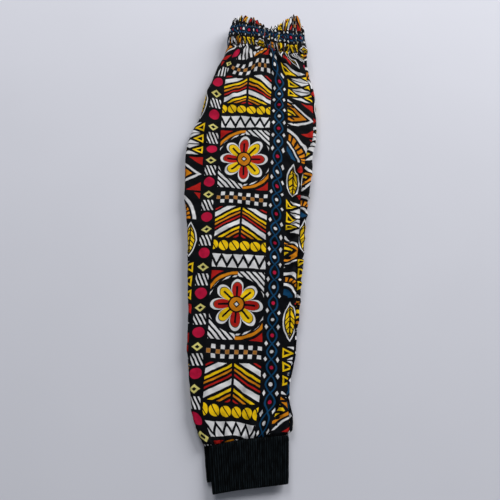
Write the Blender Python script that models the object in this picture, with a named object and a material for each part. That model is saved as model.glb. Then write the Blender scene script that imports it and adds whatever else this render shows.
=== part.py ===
"""A child's printed joggers, folded in half lengthwise and laid flat.

X runs across the folded garment, from the crotch (-X) to the outer side (+X).
Y runs along it, from the cuffs (-Y) to the waist (+Y). Z is up from the
surface it lies on. The origin is the middle of the flat underside.

The upper leg's front panel lies on top. Its back panel starts at the outseam,
rolls over the outer edge and tucks in under itself. The layers that do not
show are one solid, with a lobe at the edge for each leg. Every wall and the
solid beneath it are read from the same sections at different depths, so they
stay parallel.
"""

import math
from typing import NamedTuple

import bmesh
import bpy
from mathutils import Vector
from mathutils.geometry import delaunay_2d_cdt

# ---------------------------------------------------------------- sizes (metres)
MM = 0.001
LENGTH = 0.6888            # lowest point of the hem to the highest of the waist
SEAM_GAP = 0.0003          # air between two pieces that are sewn together
CLOTH_WALL = 0.0015        # printed cotton with its seam ease
CASING_WALL = 0.0030       # waistband: two cloths with the elastic between them
TUCK = 0.012               # how far the back panel runs in under the upper leg
ROW_PITCH = 0.021          # largest step between two sections of the leg
GATHER_PITCH = 0.011       # the same where the cloth is gathered into the waistband

CUFF_TUBE = 0.0050         # height of one flattened cuff
CUFF_WALL = 0.0020         # doubled rib knit
CUFF_RIBS = 24             # ribs across one face
UNDER_SHOWN = 0.075        # share of the under cuff's width that shows, with its ribs
RIB_HEIGHT = 0.0006

WAIST_PUCKERS = 22         # gathers across the front of the casing
WAIST_HEIGHT = 0.0200      # height of the four folded layers at the waist
WAIST_GATHERS = 11         # gathers that run on into the leg panel

LEFT_ARC = 4               # segments in the rounded edge on the crotch side
SIDE_ARC = 6               # segments in each roll of the outer side
LOBE_STEPS = 4             # segments in the under leg's edge on the crotch side
UNDER_STEPS = 3            # segments across the flat underside
BAND_STEPS = 14            # segments across the waistband's plain faces
CAP_TOLERANCE = 1e-7


class Section(NamedTuple):
    """One section across the leg, in millimetres: x from the middle, y from the hem."""
    left_x: float
    left_y: float
    right_x: float
    right_y: float
    strip: float           # width of back panel that shows beside the outseam
    height: float          # height of the folded stack


LEG_SECTIONS = [
    Section(-39.5, 53.0, 63.6, 70.6, 3.2, 10.3),     # ankle seam of the upper leg
    Section(-43.8, 59.0, 67.4, 76.8, 4.2, 10.4),
    Section(-47.5, 65.3, 68.4, 84.9, 4.6, 10.6),     # ankle seam of the under leg
    Section(-52.4, 76.0, 67.2, 92.5, 4.0, 10.8),
    Section(-57.7, 91.0, 64.7, 103.0, 3.6, 11.0),
    Section(-62.0, 119.0, 62.6, 119.0, 3.4, 11.0),
    Section(-64.6, 134.0, 63.6, 134.0, 3.4, 11.0),
    Section(-66.9, 150.0, 67.2, 150.0, 3.8, 11.2),
    Section(-69.9, 172.0, 70.8, 172.0, 3.4, 11.4),
    Section(-71.2, 197.0, 71.4, 197.0, 3.4, 11.6),
    Section(-72.4, 224.0, 73.3, 224.0, 4.4, 11.8),
    Section(-75.2, 253.0, 75.4, 253.0, 6.2, 12.0),
    Section(-78.0, 285.0, 77.5, 285.0, 8.6, 12.0),
    Section(-80.6, 313.0, 78.8, 313.0, 8.2, 12.0),
    Section(-84.2, 342.0, 81.2, 342.0, 9.0, 12.0),
    Section(-87.6, 364.0, 83.0, 364.0, 10.4, 12.2),
    Section(-90.7, 388.0, 84.3, 388.0, 11.2, 12.4),
    Section(-92.2, 410.0, 86.4, 410.0, 11.6, 12.6),
    Section(-93.6, 434.0, 89.2, 434.0, 11.4, 12.8),
    Section(-94.0, 451.0, 90.0, 455.0, 9.4, 13.0),   # crotch point
    Section(-93.2, 462.0, 92.6, 468.0, 6.4, 13.2),
    Section(-91.2, 475.0, 94.0, 482.0, 4.4, 13.5),
    Section(-84.6, 491.0, 94.0, 500.0, 4.2, 14.0),
    Section(-77.0, 509.0, 93.5, 519.0, 4.2, 14.5),
    Section(-73.3, 531.0, 92.2, 540.0, 4.4, 15.0),
    Section(-70.0, 552.0, 87.8, 560.0, 4.6, 15.8),
    Section(-63.0, 573.0, 83.6, 578.0, 4.8, 16.8),
    Section(-56.2, 594.0, 81.2, 594.0, 5.0, 17.8),
    Section(-49.8, 610.0, 79.3, 608.0, 5.2, 18.6),
    Section(-43.6, 630.5, 78.0, 619.8, 5.4, 19.0),   # waist seam
]
UNDER_LEG_START = 2            # the section where the under leg's ankle seam lies
UNDER_SHIFT = (-8.0, 12.0)     # how far the under leg's cuff lies from the upper one's
UNDER_RECESS = 1.2             # how far the under leg stays inside the outer edge
RECESS_SPAN = (80.0, 190.0)    # where the shift at the cuff turns into that recess
CROTCH_SPAN = (446.0, 474.0)   # where the two legs' edges join into one fold
ANKLE_BOW = 2.2                # how far the ankle seam bows towards the waist
ANKLE_SPAN = (60.0, 95.0)
WAIST_WAVE = 3.4               # how far the waist seam waves to and fro
WAIST_SPAN = (560.0, 620.0)
SOFT_EDGE = (12.0, 9.0)        # no fold lies this near the left and the right edge


class ColumnCount(NamedTuple):
    """How many columns the top has above a station, in millimetres."""
    above: float
    columns: int


COLUMN_COUNTS = [
    ColumnCount(554.0, 40), ColumnCount(460.0, 24), ColumnCount(112.0, 14), ColumnCount(0.0, 26),
]


class Fold(NamedTuple):
    """One large fold, in millimetres: a ridge, or a trough where rise is negative."""
    x: float
    y: float
    length: float
    width: float
    rise: float
    heading: float         # degrees clockwise from the waist direction


FOLDS = [
    Fold(-66.0, 484.0, 62.0, 11.0, 1.7, 42.0),       # drag line from the crotch
    Fold(-48.0, 468.0, 70.0, 13.0, -1.3, 50.0),
    Fold(-58.0, 520.0, 54.0, 12.0, 1.2, 24.0),
    Fold(72.0, 520.0, 70.0, 16.0, 1.5, -8.0),        # hip fold beside the outseam
    Fold(58.0, 470.0, 90.0, 15.0, -1.1, -10.0),
    Fold(14.0, 410.0, 150.0, 26.0, -1.0, 6.0),       # long soft hollow of the thigh
    Fold(-38.0, 330.0, 120.0, 24.0, 0.9, -6.0),
    Fold(30.0, 268.0, 130.0, 22.0, 0.9, 4.0),
    Fold(-20.0, 200.0, 110.0, 20.0, -0.8, -5.0),
    Fold(44.0, 158.0, 60.0, 13.0, 0.9, 8.0),
    Fold(15.5, 90.0, 46.0, 5.5, 1.9, -4.0),          # folds gathered into the cuff
    Fold(37.0, 88.0, 38.0, 5.0, 1.6, -6.0),
    Fold(-13.0, 82.0, 40.0, 6.0, 1.5, 6.0),
    Fold(-32.0, 84.0, 34.0, 6.0, 1.1, 12.0),
]


GATHER_RUN = (34.0, 84.0)      # shortest and longest gather below the waist seam
GATHER_RISE = (0.9, 1.9)
GATHER_WIDTH = (0.018, 0.030)  # share of the section's width
GATHER_SHIFT = 0.22            # how far a gather strays from its even place
GATHER_TOP = 622.0


class EdgePoint(NamedTuple):
    """One point along the waistband's top edge, in millimetres."""
    x: float
    y: float


WAIST_EDGE = [
    EdgePoint(-41.2, 664.0), EdgePoint(-34.0, 678.0), EdgePoint(-25.0, 681.4),
    EdgePoint(-12.0, 681.6), EdgePoint(-1.0, 676.0), EdgePoint(9.0, 668.0),
    EdgePoint(18.5, 661.0), EdgePoint(27.0, 664.5), EdgePoint(37.0, 671.0),
    EdgePoint(48.0, 680.5), EdgePoint(58.5, 687.8), EdgePoint(66.0, 682.0),
    EdgePoint(72.0, 662.0),
]
BAND_LEFT = (-43.4, -44.6, -41.2)      # left edge at the seam, the middle and the top
BAND_RIGHT = (77.6, 74.8, 72.0)        # right edge at the same places
PUCKER_RISE = (0.5, 1.0)
PUCKER_SWAY = 0.18                     # how far a pucker strays, as a share of its pitch
BAND_DROP = 0.7                        # the casing is this much lower at its two ends
BAND_ROUNDING = 1.1                    # how far the casing is drawn in at its two ends
BAND_ROWS = (0.0, 0.06, 0.2, 0.4, 0.6, 0.8, 0.93, 1.0)
BAND_SOFT_EDGE = 0.03                  # share of the width with no pucker at each side
BAND_ROUND_SHARE = 0.1                 # share of its height that each rounding takes


class Blade(NamedTuple):
    """One thin cut that parts two layers along the waist opening, in millimetres."""
    name: str
    level: float           # share of the stack's height
    reach: float           # how deep it cuts in from the edge
    thickness: float


BLADES = [Blade("between_backs", 0.52, 6.0, 0.9), Blade("between_under_pair", 0.25, 12.0, 0.9)]
BLADE_STEPS = 24
BLADE_SPAN = (-60.0, 90.0)
BLADE_BEYOND = 20.0

HEM_CORNERS = ((-26.0, 0.5), (63.9, 16.2))           # the upper cuff's hem
CUFF_TOP_LEFT = -34.0
CUFF_TOP_RIGHT = 63.2
HEM_BOW = 1.6
CUFF_ROWS = (0.0, 0.04, 0.35, 0.7, 0.95, 1.0)
CUFF_MOUTH = 0.9           # how far the cuff's inside runs from the hem to its seam
CUFF_DRAW_IN = 0.5         # how far both ends of a cuff are drawn in
CUFF_END = 0.03            # share of the cuff's height that each drawn-in end takes
CUFF_ARC = 4               # segments in a quarter of a cuff's edge
RIB_SHAPE = ((0.18, 0.0), (0.34, 1.0), (0.74, 1.0), (0.90, 0.0))   # (place, lift) in a rib


CREASE_ANGLE = 50.0        # degrees; sharper edges than this are shaded sharp


class Finish(NamedTuple):
    """Colour and roughness of one cloth."""
    colour: tuple
    roughness: float


FRONT_COTTON = Finish((0.32, 0.24, 0.03), 0.85)
BACK_COTTON = Finish((0.26, 0.03, 0.02), 0.85)
LAYERED_COTTON = Finish((0.02, 0.03, 0.05), 0.85)
CASING_COTTON = Finish((0.05, 0.06, 0.07), 0.85)
RIB_KNIT = Finish((0.006, 0.008, 0.011), 0.9)


# ------------------------------------------------------------------- arithmetic
def smooth_step(low, high, value):
    """Return 0 below low, 1 above high, and a smooth rise between them."""
    t = min(1.0, max(0.0, (value - low) / (high - low)))
    return t * t * (3.0 - 2.0 * t)


def mix(a, b, t):
    """Return the value that lies t of the way from a to b."""
    return a + (b - a) * t


def vary(index, low, high):
    """Return an uneven but repeatable value between low and high."""
    return mix(low, high, (index * 0.618034 + 0.37) % 1.0)


def hermite(points, value):
    """Return y on the smooth curve through (x, y) points, at x = value."""
    if value <= points[0][0]:
        return points[0][1]
    if value >= points[-1][0]:
        return points[-1][1]
    i = max(k for k, p in enumerate(points[:-1]) if p[0] <= value)
    x0, y0 = points[i]
    x1, y1 = points[i + 1]
    span = x1 - x0
    slopes = [slope_at(points, i), slope_at(points, i + 1)]
    t = (value - x0) / span
    return ((2 * t**3 - 3 * t**2 + 1) * y0 + (t**3 - 2 * t**2 + t) * span * slopes[0]
            + (3 * t**2 - 2 * t**3) * y1 + (t**3 - t**2) * span * slopes[1])


def slope_at(points, i):
    """Return the slope of the curve at its point i, flat where it turns back."""
    before = points[max(i - 1, 0)]
    here = points[i]
    after = points[min(i + 1, len(points) - 1)]
    if here is before or here is after:
        return (after[1] - before[1]) / (after[0] - before[0])
    rise_in = (here[1] - before[1]) / (here[0] - before[0])
    rise_out = (after[1] - here[1]) / (after[0] - here[0])
    if rise_in * rise_out <= 0.0:
        return 0.0
    return 2.0 * rise_in * rise_out / (rise_in + rise_out)


# --------------------------------------------------------------- leg's sections
def station(section):
    """Return how far a section lies from the hem, at its middle."""
    return 0.5 * (section.left_y + section.right_y)


def section_at(y_mid):
    """Return the section at a station between those of the table."""
    fields = []
    for name in Section._fields:
        curve = [(station(s), getattr(s, name)) for s in LEG_SECTIONS]
        fields.append(hermite(curve, y_mid))
    return Section(*fields)


def leg_rows():
    """Return the sections to loft through, closer together where the cloth gathers."""
    rows = []
    for low, high in zip(LEG_SECTIONS, LEG_SECTIONS[1:]):
        span = station(high) - station(low)
        pitch = GATHER_PITCH if station(low) > 550.0 else ROW_PITCH
        steps = max(1, math.ceil(span * MM / pitch - 0.4))
        rows.append(low)
        for k in range(1, steps):
            rows.append(section_at(mix(station(low), station(high), k / steps)))
    rows.append(LEG_SECTIONS[-1])
    return rows


def columns_at(section):
    """Return how many columns the top of a section needs for its folds."""
    return next(c.columns for c in COLUMN_COUNTS if station(section) > c.above)


def crotch_rise(section):
    """Return 0 below the crotch, where the legs part, and 1 above it."""
    return smooth_step(*CROTCH_SPAN, section.left_y)


def left_radius(section):
    """Return the radius of the rounded edge on the crotch side."""
    return section.height * mix(0.25, 0.5, crotch_rise(section))


def y_on(section, x):
    """Return y where a section crosses x."""
    u = (x - section.left_x) / (section.right_x - section.left_x)
    ankle = ANKLE_BOW * math.sin(math.pi * u) * (1.0 - smooth_step(*ANKLE_SPAN, station(section)))
    waist = WAIST_WAVE * math.sin(2.0 * math.pi * u) * smooth_step(*WAIST_SPAN, station(section))
    return mix(section.left_y, section.right_y, u) + ankle + waist


def fold_relief(x, y):
    """Return how far the large folds lift the cloth at a place, in millimetres."""
    total = 0.0
    for fold in FOLDS:
        angle = math.radians(fold.heading)
        along = (x - fold.x) * math.sin(angle) + (y - fold.y) * math.cos(angle)
        across = (x - fold.x) * math.cos(angle) - (y - fold.y) * math.sin(angle)
        reach = max(0.0, 1.0 - (2.0 * along / fold.length) ** 2)
        total += fold.rise * reach ** 1.5 * math.exp(-2.0 * (across / fold.width) ** 2)
    return total


def gather_relief(u, y_mid):
    """Return the lift of the soft gathers under the waistband, in millimetres."""
    total = 0.0
    for k in range(WAIST_GATHERS):
        centre = (k + 0.5 + vary(k, -GATHER_SHIFT, GATHER_SHIFT)) / WAIST_GATHERS
        run = vary(k + 5, *GATHER_RUN)
        rise = vary(k + 9, *GATHER_RISE)
        width = vary(k + 2, *GATHER_WIDTH)
        fade = smooth_step(GATHER_TOP - run, GATHER_TOP, y_mid)
        total += rise * fade * math.exp(-((u - centre) / width) ** 2)
    return total


def top_height(section, x):
    """Return the height of the uppermost cloth where a section crosses x."""
    u = (x - section.left_x) / (section.right_x - section.left_x)
    inner = smooth_step(0.0, SOFT_EDGE[0], x - section.left_x - left_radius(section))
    outer = smooth_step(0.0, SOFT_EDGE[1], section.right_x - x - section.height / 4.0)
    relief = fold_relief(x, y_on(section, x)) + gather_relief(u, station(section))
    return section.height + relief * inner * outer


# -------------------------------------------------------------- paths of points
def place(x, y, z):
    """Return a point in metres, in the part's own frame."""
    return Vector((x * MM, y * MM - LENGTH / 2.0, z * MM))


def arc_points(centre, radius, start, end, steps):
    """Return (x, z) points along an arc, its angles in degrees."""
    points = []
    for k in range(steps + 1):
        angle = math.radians(mix(start, end, k / steps))
        points.append((centre[0] + radius * math.cos(angle), centre[1] + radius * math.sin(angle)))
    return points


def on_section(section, points):
    """Return (x, z) points of a section as places in the frame."""
    return [place(x, y_on(section, x), z) for x, z in points]


def seam_x(section):
    """Return where the outseam crosses a section."""
    return section.right_x - section.strip


def front_parts(section, depth):
    """Return the upper front from its left edge to the outseam, depth below its face."""
    radius = left_radius(section)
    centre = (section.left_x + radius, section.height - radius)
    edge = arc_points(centre, radius - depth, 180.0, 90.0, LEFT_ARC)
    last = seam_x(section) - SEAM_GAP / MM / 2.0
    count = columns_at(section)
    flat = [edge[-1]]
    for k in range(1, count + 1):
        x = mix(centre[0], last, k / count)
        flat.append((x, top_height(section, x) - depth))
    return [on_section(section, edge), on_section(section, flat)]


def back_parts(section, depth, tuck):
    """Return the back panel from the outseam to its tucked end, depth below its face."""
    radius = section.height / 4.0
    centre = (section.right_x - radius, section.height - radius)
    first = seam_x(section) + SEAM_GAP / MM / 2.0
    strip = []
    for k in range(4):
        x = mix(first, centre[0], k / 3)
        strip.append((x, top_height(section, x) - depth))
    strip[-1] = (centre[0], section.height - depth)
    roll = arc_points(centre, radius - depth, 90.0, -90.0, SIDE_ARC)
    roll[0] = strip[-1]
    under = [roll[-1], (centre[0] - tuck, roll[-1][1])]
    return [on_section(section, part) for part in (strip, roll, under)]


def left_side_points(section):
    """Return (x, z) from the underside up to the front panel's left end."""
    height = section.height
    quarter = height / 4.0
    rise = crotch_rise(section)
    points = []
    steps = LOBE_STEPS + LOBE_STEPS // 2
    for k in range(steps + 1):
        if k <= LOBE_STEPS:
            turn = math.pi * k / LOBE_STEPS
            parted = (quarter * (1.0 - math.sin(turn)), quarter * (1.0 - math.cos(turn)))
        else:
            turn = math.pi * (k - LOBE_STEPS) / LOBE_STEPS
            parted = (quarter * (1.0 - math.sin(turn)), height / 2 + quarter * (1.0 - math.cos(turn)))
        turn = math.pi / 2 * k / steps
        joined = (height / 2 * (1.0 - math.sin(turn)), height / 2 * (1.0 - math.cos(turn)))
        x = section.left_x + mix(parted[0], joined[0], rise)
        points.append((x, mix(parted[1], joined[1], rise)))
    points[-1] = (points[-1][0], points[-1][1] - SEAM_GAP / MM)
    return points


def under_right(section):
    """Return the outer edge of the under leg, which lies a little further in."""
    inland = smooth_step(*RECESS_SPAN, station(section))
    return section.right_x - mix(-UNDER_SHIFT[0], UNDER_RECESS, inland)


def layers_ring(section):
    """Return the closed ring of the hidden layers at a section, as joined parts."""
    gap = SEAM_GAP / MM
    depth = CLOTH_WALL / MM + gap
    side = left_side_points(section)
    front = front_parts(section, depth)
    back = back_parts(section, depth, TUCK / MM + gap)
    shoulder_x = front[0][0].x / MM
    shoulder = [side[-1], (shoulder_x, side[-1][1])]
    slot_x = back[2][-1].x / MM
    slot_z = section.height / 2.0 - gap
    radius = slot_z / 2.0
    lobe_x = under_right(section) - radius
    lobe = arc_points((lobe_x, radius), radius, 90.0, -90.0, SIDE_ARC)
    slot = [(slot_x, slot_z), (mix(slot_x, lobe_x, 0.5), slot_z), lobe[0]]
    is_end = section in (LEG_SECTIONS[UNDER_LEG_START], LEG_SECTIONS[-1])
    steps = BAND_STEPS if is_end else UNDER_STEPS
    floor = [(mix(lobe_x, side[0][0], k / steps), 0.0) for k in range(steps + 1)]
    ring = [on_section(section, side), on_section(section, shoulder)]
    ring.append([ring[1][-1], front[0][0]])
    ring += [front[0], front[1], [front[1][-1], back[0][0]]] + back
    ring.append([back[2][-1], place(slot_x, y_on(section, slot_x), slot_z)])
    ring += [on_section(section, slot), on_section(section, lobe), on_section(section, floor)]
    ring[0][0] = ring[-1][-1]
    return ring


# ------------------------------------------------------------------ mesh making
def add_parts(bm, parts, closed):
    """Add the joined parts of one path as vertices, sharing the ones where they meet."""
    made = []
    for part in parts:
        first = made[-1][-1] if made else bm.verts.new(part[0])
        made.append([first] + [bm.verts.new(p) for p in part[1:]])
    if closed:
        spare = made[-1][-1]
        made[-1][-1] = made[0][0]
        bm.verts.remove(spare)
    return made


def zip_rows(bm, a, b):
    """Fill between two rows of vertices with triangles, whatever their counts."""
    i = j = 0
    while i < len(a) - 1 or j < len(b) - 1:
        next_a = (i + 1) / (len(a) - 1)
        next_b = (j + 1) / (len(b) - 1)
        if j == len(b) - 1 or (i < len(a) - 1 and next_a <= next_b + 1e-9):
            bm.faces.new((a[i], a[i + 1], b[j]))
            i += 1
        else:
            bm.faces.new((a[i], b[j + 1], b[j]))
            j += 1


def loft(bm, rows):
    """Join each path to the next one, part by part."""
    for low, high in zip(rows, rows[1:]):
        for part_low, part_high in zip(low, high):
            zip_rows(bm, part_low, part_high)


def chain(parts):
    """Return the vertices of joined parts as one run, each once."""
    return [v for part in parts for v in part[:-1]] + [parts[-1][-1]]


def cap(bm, ring, hole=()):
    """Close the end of a loft with triangles, laid out as seen along the garment."""
    verts = list(ring) + list(hole)
    flat = [Vector((v.co.x, v.co.z)) for v in verts]
    count = len(ring)
    edges = [(k, (k + 1) % count) for k in range(count)]
    edges += [(count + k, count + (k + 1) % len(hole)) for k in range(len(hole))]
    faces = delaunay_2d_cdt(flat, edges, [], 1, CAP_TOLERANCE)[2]
    for face in faces:
        if min(face) < count:
            bm.faces.new([verts[k] for k in face])


def wall_solid(bm, outer_rows, inner_rows):
    """Make a closed wall from the paths of its outer and its inner face."""
    outer = [add_parts(bm, parts, False) for parts in outer_rows]
    inner = [add_parts(bm, parts, False) for parts in inner_rows]
    loft(bm, outer)
    loft(bm, inner)
    for row in (0, -1):
        cap(bm, chain(outer[row]) + chain(inner[row])[::-1])
    for end in (0, -1):
        edge_outer = [row[end][end] for row in outer]
        edge_inner = [row[end][end] for row in inner]
        zip_rows(bm, edge_outer, edge_inner)


def ring_solid(bm, ring_rows):
    """Make a closed solid from a run of closed rings."""
    rows = [add_parts(bm, parts, True) for parts in ring_rows]
    loft(bm, rows)
    cap(bm, chain(rows[0])[:-1])
    cap(bm, chain(rows[-1])[:-1])


def cloth_material(name, finish):
    """Make a plain cloth material."""
    material = bpy.data.materials.new(name)
    material.use_nodes = True
    shader = material.node_tree.nodes["Principled BSDF"]
    shader.inputs["Base Color"].default_value = (*finish.colour, 1.0)
    shader.inputs["Roughness"].default_value = finish.roughness
    shader.inputs["Metallic"].default_value = 0.0
    material.diffuse_color = (*finish.colour, 1.0)
    return material


def face_outwards(bm):
    """Turn every face of a closed mesh outwards."""
    bmesh.ops.recalc_face_normals(bm, faces=bm.faces)
    if bm.calc_volume(signed=True) < 0.0:
        bmesh.ops.reverse_faces(bm, faces=bm.faces)


def finish_object(name, bm, finish):
    """Turn a closed mesh into a named, smooth-shaded object with its own material."""
    face_outwards(bm)
    mesh = bpy.data.meshes.new(name)
    bm.to_mesh(mesh)
    bm.free()
    mesh.shade_smooth()
    mesh.set_sharp_from_angle(angle=math.radians(CREASE_ANGLE))
    mesh.materials.append(cloth_material(name + "_cloth", finish))
    piece = bpy.data.objects.new(name, mesh)
    bpy.context.collection.objects.link(piece)
    return piece


# ------------------------------------------------------------------- leg pieces
def make_front_panel(rows):
    """Make the front panel of the upper leg, which shows on top."""
    bm = bmesh.new()
    outer = [front_parts(s, 0.0) for s in rows]
    inner = [front_parts(s, CLOTH_WALL / MM) for s in rows]
    wall_solid(bm, outer, inner)
    return finish_object("front_leg_panel", bm, FRONT_COTTON)


def make_back_panel(rows):
    """Make the back panel where it shows and rolls in under the upper leg."""
    bm = bmesh.new()
    outer = [back_parts(s, 0.0, TUCK / MM) for s in rows]
    inner = [back_parts(s, CLOTH_WALL / MM, TUCK / MM) for s in rows]
    wall_solid(bm, outer, inner)
    return finish_object("back_leg_panel", bm, BACK_COTTON)


def make_folded_layers(rows):
    """Make the layers that do not show as one solid, a lobe at the edge for each leg."""
    bm = bmesh.new()
    first = rows.index(LEG_SECTIONS[UNDER_LEG_START])
    ring_solid(bm, [layers_ring(s) for s in rows[first:]])
    return finish_object("folded_leg_layers", bm, LAYERED_COTTON)


# ------------------------------------------------------------------- waistband
def bend_through(three, t):
    """Return the value at t on the curve through values at 0, 0.5 and 1."""
    low, middle, high = three
    return low * (1 - t) * (1 - 2 * t) + 4 * middle * t * (1 - t) + high * t * (2 * t - 1)


def band_section(fraction):
    """Return the waistband's section at a fraction of its height."""
    left = bend_through(BAND_LEFT, fraction)
    right = bend_through(BAND_RIGHT, fraction)
    height = WAIST_HEIGHT / MM - BAND_DROP * (2.0 * fraction - 1.0) ** 2
    return Section(left, 0.0, right, 0.0, 0.0, height)


def band_y(x, fraction):
    """Return y on the waistband, between the waist seam and its top edge."""
    seam = y_on(LEG_SECTIONS[-1], x) + SEAM_GAP / MM
    edge = hermite([(p.x, p.y) for p in WAIST_EDGE], x)
    return mix(seam, edge, fraction)


def pucker_relief(u, fraction):
    """Return the lift of the casing's gathers, in millimetres."""
    phase = u * WAIST_PUCKERS
    index = math.floor(phase)
    here = vary(index, *PUCKER_RISE)
    after = vary(index + 1, *PUCKER_RISE)
    sway = PUCKER_SWAY * math.sin(7.0 * u + 4.0 * fraction)
    return mix(here, after, smooth_step(0.0, 1.0, phase - index)) * math.sin(math.tau * (phase + sway))


def band_parts(fraction, depth, columns, tuck, ruffled):
    """Return the casing from its left fold round the outer edge, depth below its face."""
    section = band_section(fraction)
    radius = section.height / 2.0
    centre = (section.left_x + radius, section.height - radius)
    small = section.height / 4.0
    turn = (section.right_x - small, section.height - small)
    edge = arc_points(centre, radius - depth, 180.0, 90.0, LEFT_ARC)
    flat = []
    for k in range(columns + 1):
        u = k / columns
        x = mix(centre[0], turn[0], u)
        sides = smooth_step(0.0, BAND_SOFT_EDGE, u) * smooth_step(0.0, BAND_SOFT_EDGE, 1.0 - u)
        lift = pucker_relief(u, fraction) * sides if ruffled else 0.0
        flat.append((x, section.height + lift - depth))
    roll = arc_points(turn, small - depth, 90.0, -90.0, SIDE_ARC)
    under = [roll[-1], (turn[0] - tuck, roll[-1][1])]
    return [[place(x, band_y(x, fraction), z) for x, z in part] for part in (edge, flat, roll, under)]


def end_depth(fraction, rounding):
    """Return how far the casing's face is drawn in beside its seam and its top fold."""
    near = min(fraction, 1.0 - fraction)
    return rounding * (1.0 - smooth_step(0.0, BAND_ROUND_SHARE, near))


def make_waistband():
    """Make the gathered casing that shows, its gathers raised over a plain inside."""
    bm = bmesh.new()
    outer = []
    inner = []
    for fraction in BAND_ROWS:
        depth = end_depth(fraction, BAND_ROUNDING)
        outer.append(band_parts(fraction, depth, WAIST_PUCKERS * 4, TUCK / MM, True))
        inner.append(band_parts(fraction, CASING_WALL / MM, BAND_STEPS, TUCK / MM, False))
    wall_solid(bm, outer, inner)
    return finish_object("waistband", bm, CASING_COTTON)


def band_ring(fraction):
    """Return the closed ring of the waistband's hidden layers, as joined parts."""
    gap = SEAM_GAP / MM
    depth = CASING_WALL / MM + gap
    section = band_section(fraction)
    edge, flat, roll, under = band_parts(fraction, depth, BAND_STEPS, TUCK / MM + gap, False)
    half = section.height / 2.0
    foot = arc_points((section.left_x + half, half), half, 270.0, 180.0, 6)
    foot[-1] = (foot[-1][0], half - gap)
    shoulder = (edge[0].x / MM, half - gap)
    slot_x = under[-1].x / MM
    slot_z = half - gap
    lobe_x = section.right_x - UNDER_RECESS - slot_z / 2.0
    lobe = arc_points((lobe_x, slot_z / 2.0), slot_z / 2.0, 90.0, -90.0, SIDE_ARC)
    floor = [(mix(lobe_x, foot[0][0], k / BAND_STEPS), 0.0) for k in range(BAND_STEPS + 1)]

    def on_band(points):
        return [place(x, band_y(x, fraction), z) for x, z in points]

    ring = [on_band(foot), on_band([foot[-1], shoulder])]
    ring.append([ring[1][-1], edge[0]])
    ring += [edge, flat, roll, under]
    ring.append([under[-1]] + on_band([(slot_x, slot_z)]))
    ring += [on_band([(slot_x, slot_z), lobe[0]]), on_band(lobe), on_band(floor)]
    ring[0][0] = ring[-1][-1]
    return ring


def blade_edge(back, z, reach):
    """Return one long edge of a blade: along the waist, or clear beyond it."""
    points = []
    for k in range(BLADE_STEPS + 1):
        x = mix(*BLADE_SPAN, k / BLADE_STEPS)
        y = band_y(x, 1.0) - reach if back else LENGTH / MM + BLADE_BEYOND
        points.append(place(x, y, z))
    return points


def make_layer_cutter(blade):
    """Make the thin blade that parts two layers along the waist opening."""
    bm = bmesh.new()
    middle = blade.level * WAIST_HEIGHT / MM
    low = middle - blade.thickness / 2.0
    high = middle + blade.thickness / 2.0
    sides = [(True, low), (False, low), (False, high), (True, high)]
    edges = [[bm.verts.new(p) for p in blade_edge(back, z, blade.reach)] for back, z in sides]
    for k in range(4):
        zip_rows(bm, edges[k], edges[(k + 1) % 4])
    for end in (0, -1):
        bm.faces.new([edge[end] for edge in edges])
    face_outwards(bm)
    mesh = bpy.data.meshes.new(blade.name)
    bm.to_mesh(mesh)
    bm.free()
    cutter = bpy.data.objects.new(blade.name, mesh)
    cutter.hide_render = True
    cutter.display_type = 'WIRE'
    bpy.context.collection.objects.link(cutter)
    return cutter


def make_folded_waistband():
    """Make the waistband's hidden layers as one solid, parted along the opening."""
    bm = bmesh.new()
    ring_solid(bm, [band_ring(fraction) for fraction in BAND_ROWS])
    piece = finish_object("folded_waistband_layers", bm, CASING_COTTON)
    for blade in BLADES:
        cut = piece.modifiers.new("part_" + blade.name, 'BOOLEAN')
        cut.operation = 'DIFFERENCE'
        cut.solver = 'EXACT'
        cut.object = make_layer_cutter(blade)
    return piece


# ------------------------------------------------------------------------ cuffs
class CuffSeat(NamedTuple):
    """Where one cuff lies, in millimetres."""
    seam: Section          # the section of the leg that it is sewn to
    shift_x: float
    shift_y: float
    base: float            # height of its underside


def cuff_place(u, fraction, seat, z):
    """Return a place on a cuff, u across it and fraction of the way from hem to seam."""
    hem_x = mix(HEM_CORNERS[0][0], HEM_CORNERS[1][0], u) + seat.shift_x
    hem_y = mix(HEM_CORNERS[0][1], HEM_CORNERS[1][1], u) + seat.shift_y
    hem_y += HEM_BOW * math.sin(math.pi * u) * (1.0 - u)
    top_x = mix(CUFF_TOP_LEFT, CUFF_TOP_RIGHT, u) + seat.shift_x
    top_y = y_on(seat.seam, top_x) - SEAM_GAP / MM
    return place(mix(hem_x, top_x, fraction), mix(hem_y, top_y, fraction), z)


def rib_profile(ribs, height, shown):
    """Return (u, lift) pairs across one face, with flat-topped ribs over the share shown."""
    pairs = [(0.0, 0.0)]
    for k in range(math.floor(ribs * shown)):
        pairs += [((k + spot) / ribs, lift * height) for spot, lift in RIB_SHAPE]
    pairs.append((1.0, 0.0))
    return pairs


def cuff_ring(fraction, seat, inset, top_pairs):
    """Return one closed ring round a cuff, inset from its outside."""
    width = HEM_CORNERS[1][0] - HEM_CORNERS[0][0]
    radius = CUFF_TUBE / MM / 2.0
    small = radius - inset
    middle = seat.base + radius
    edge_u = radius / width
    left = arc_points((0.0, middle), small, 180.0, 90.0, CUFF_ARC)
    right = arc_points((0.0, middle), small, 90.0, -90.0, 2 * CUFF_ARC)
    foot = arc_points((0.0, middle), small, 270.0, 180.0, CUFF_ARC)

    def along(points, centre_u):
        return [cuff_place(centre_u + x / width, fraction, seat, z) for x, z in points]

    def across(u, z):
        return cuff_place(mix(edge_u, 1.0 - edge_u, u), fraction, seat, z)

    top = [across(u, middle + small + lift) for u, lift in top_pairs]
    floor = [across(1.0 - k / UNDER_STEPS, middle - small) for k in range(UNDER_STEPS + 1)]
    return [along(left, edge_u), top, along(right, 1.0 - edge_u), floor, along(foot, edge_u)]


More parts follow.
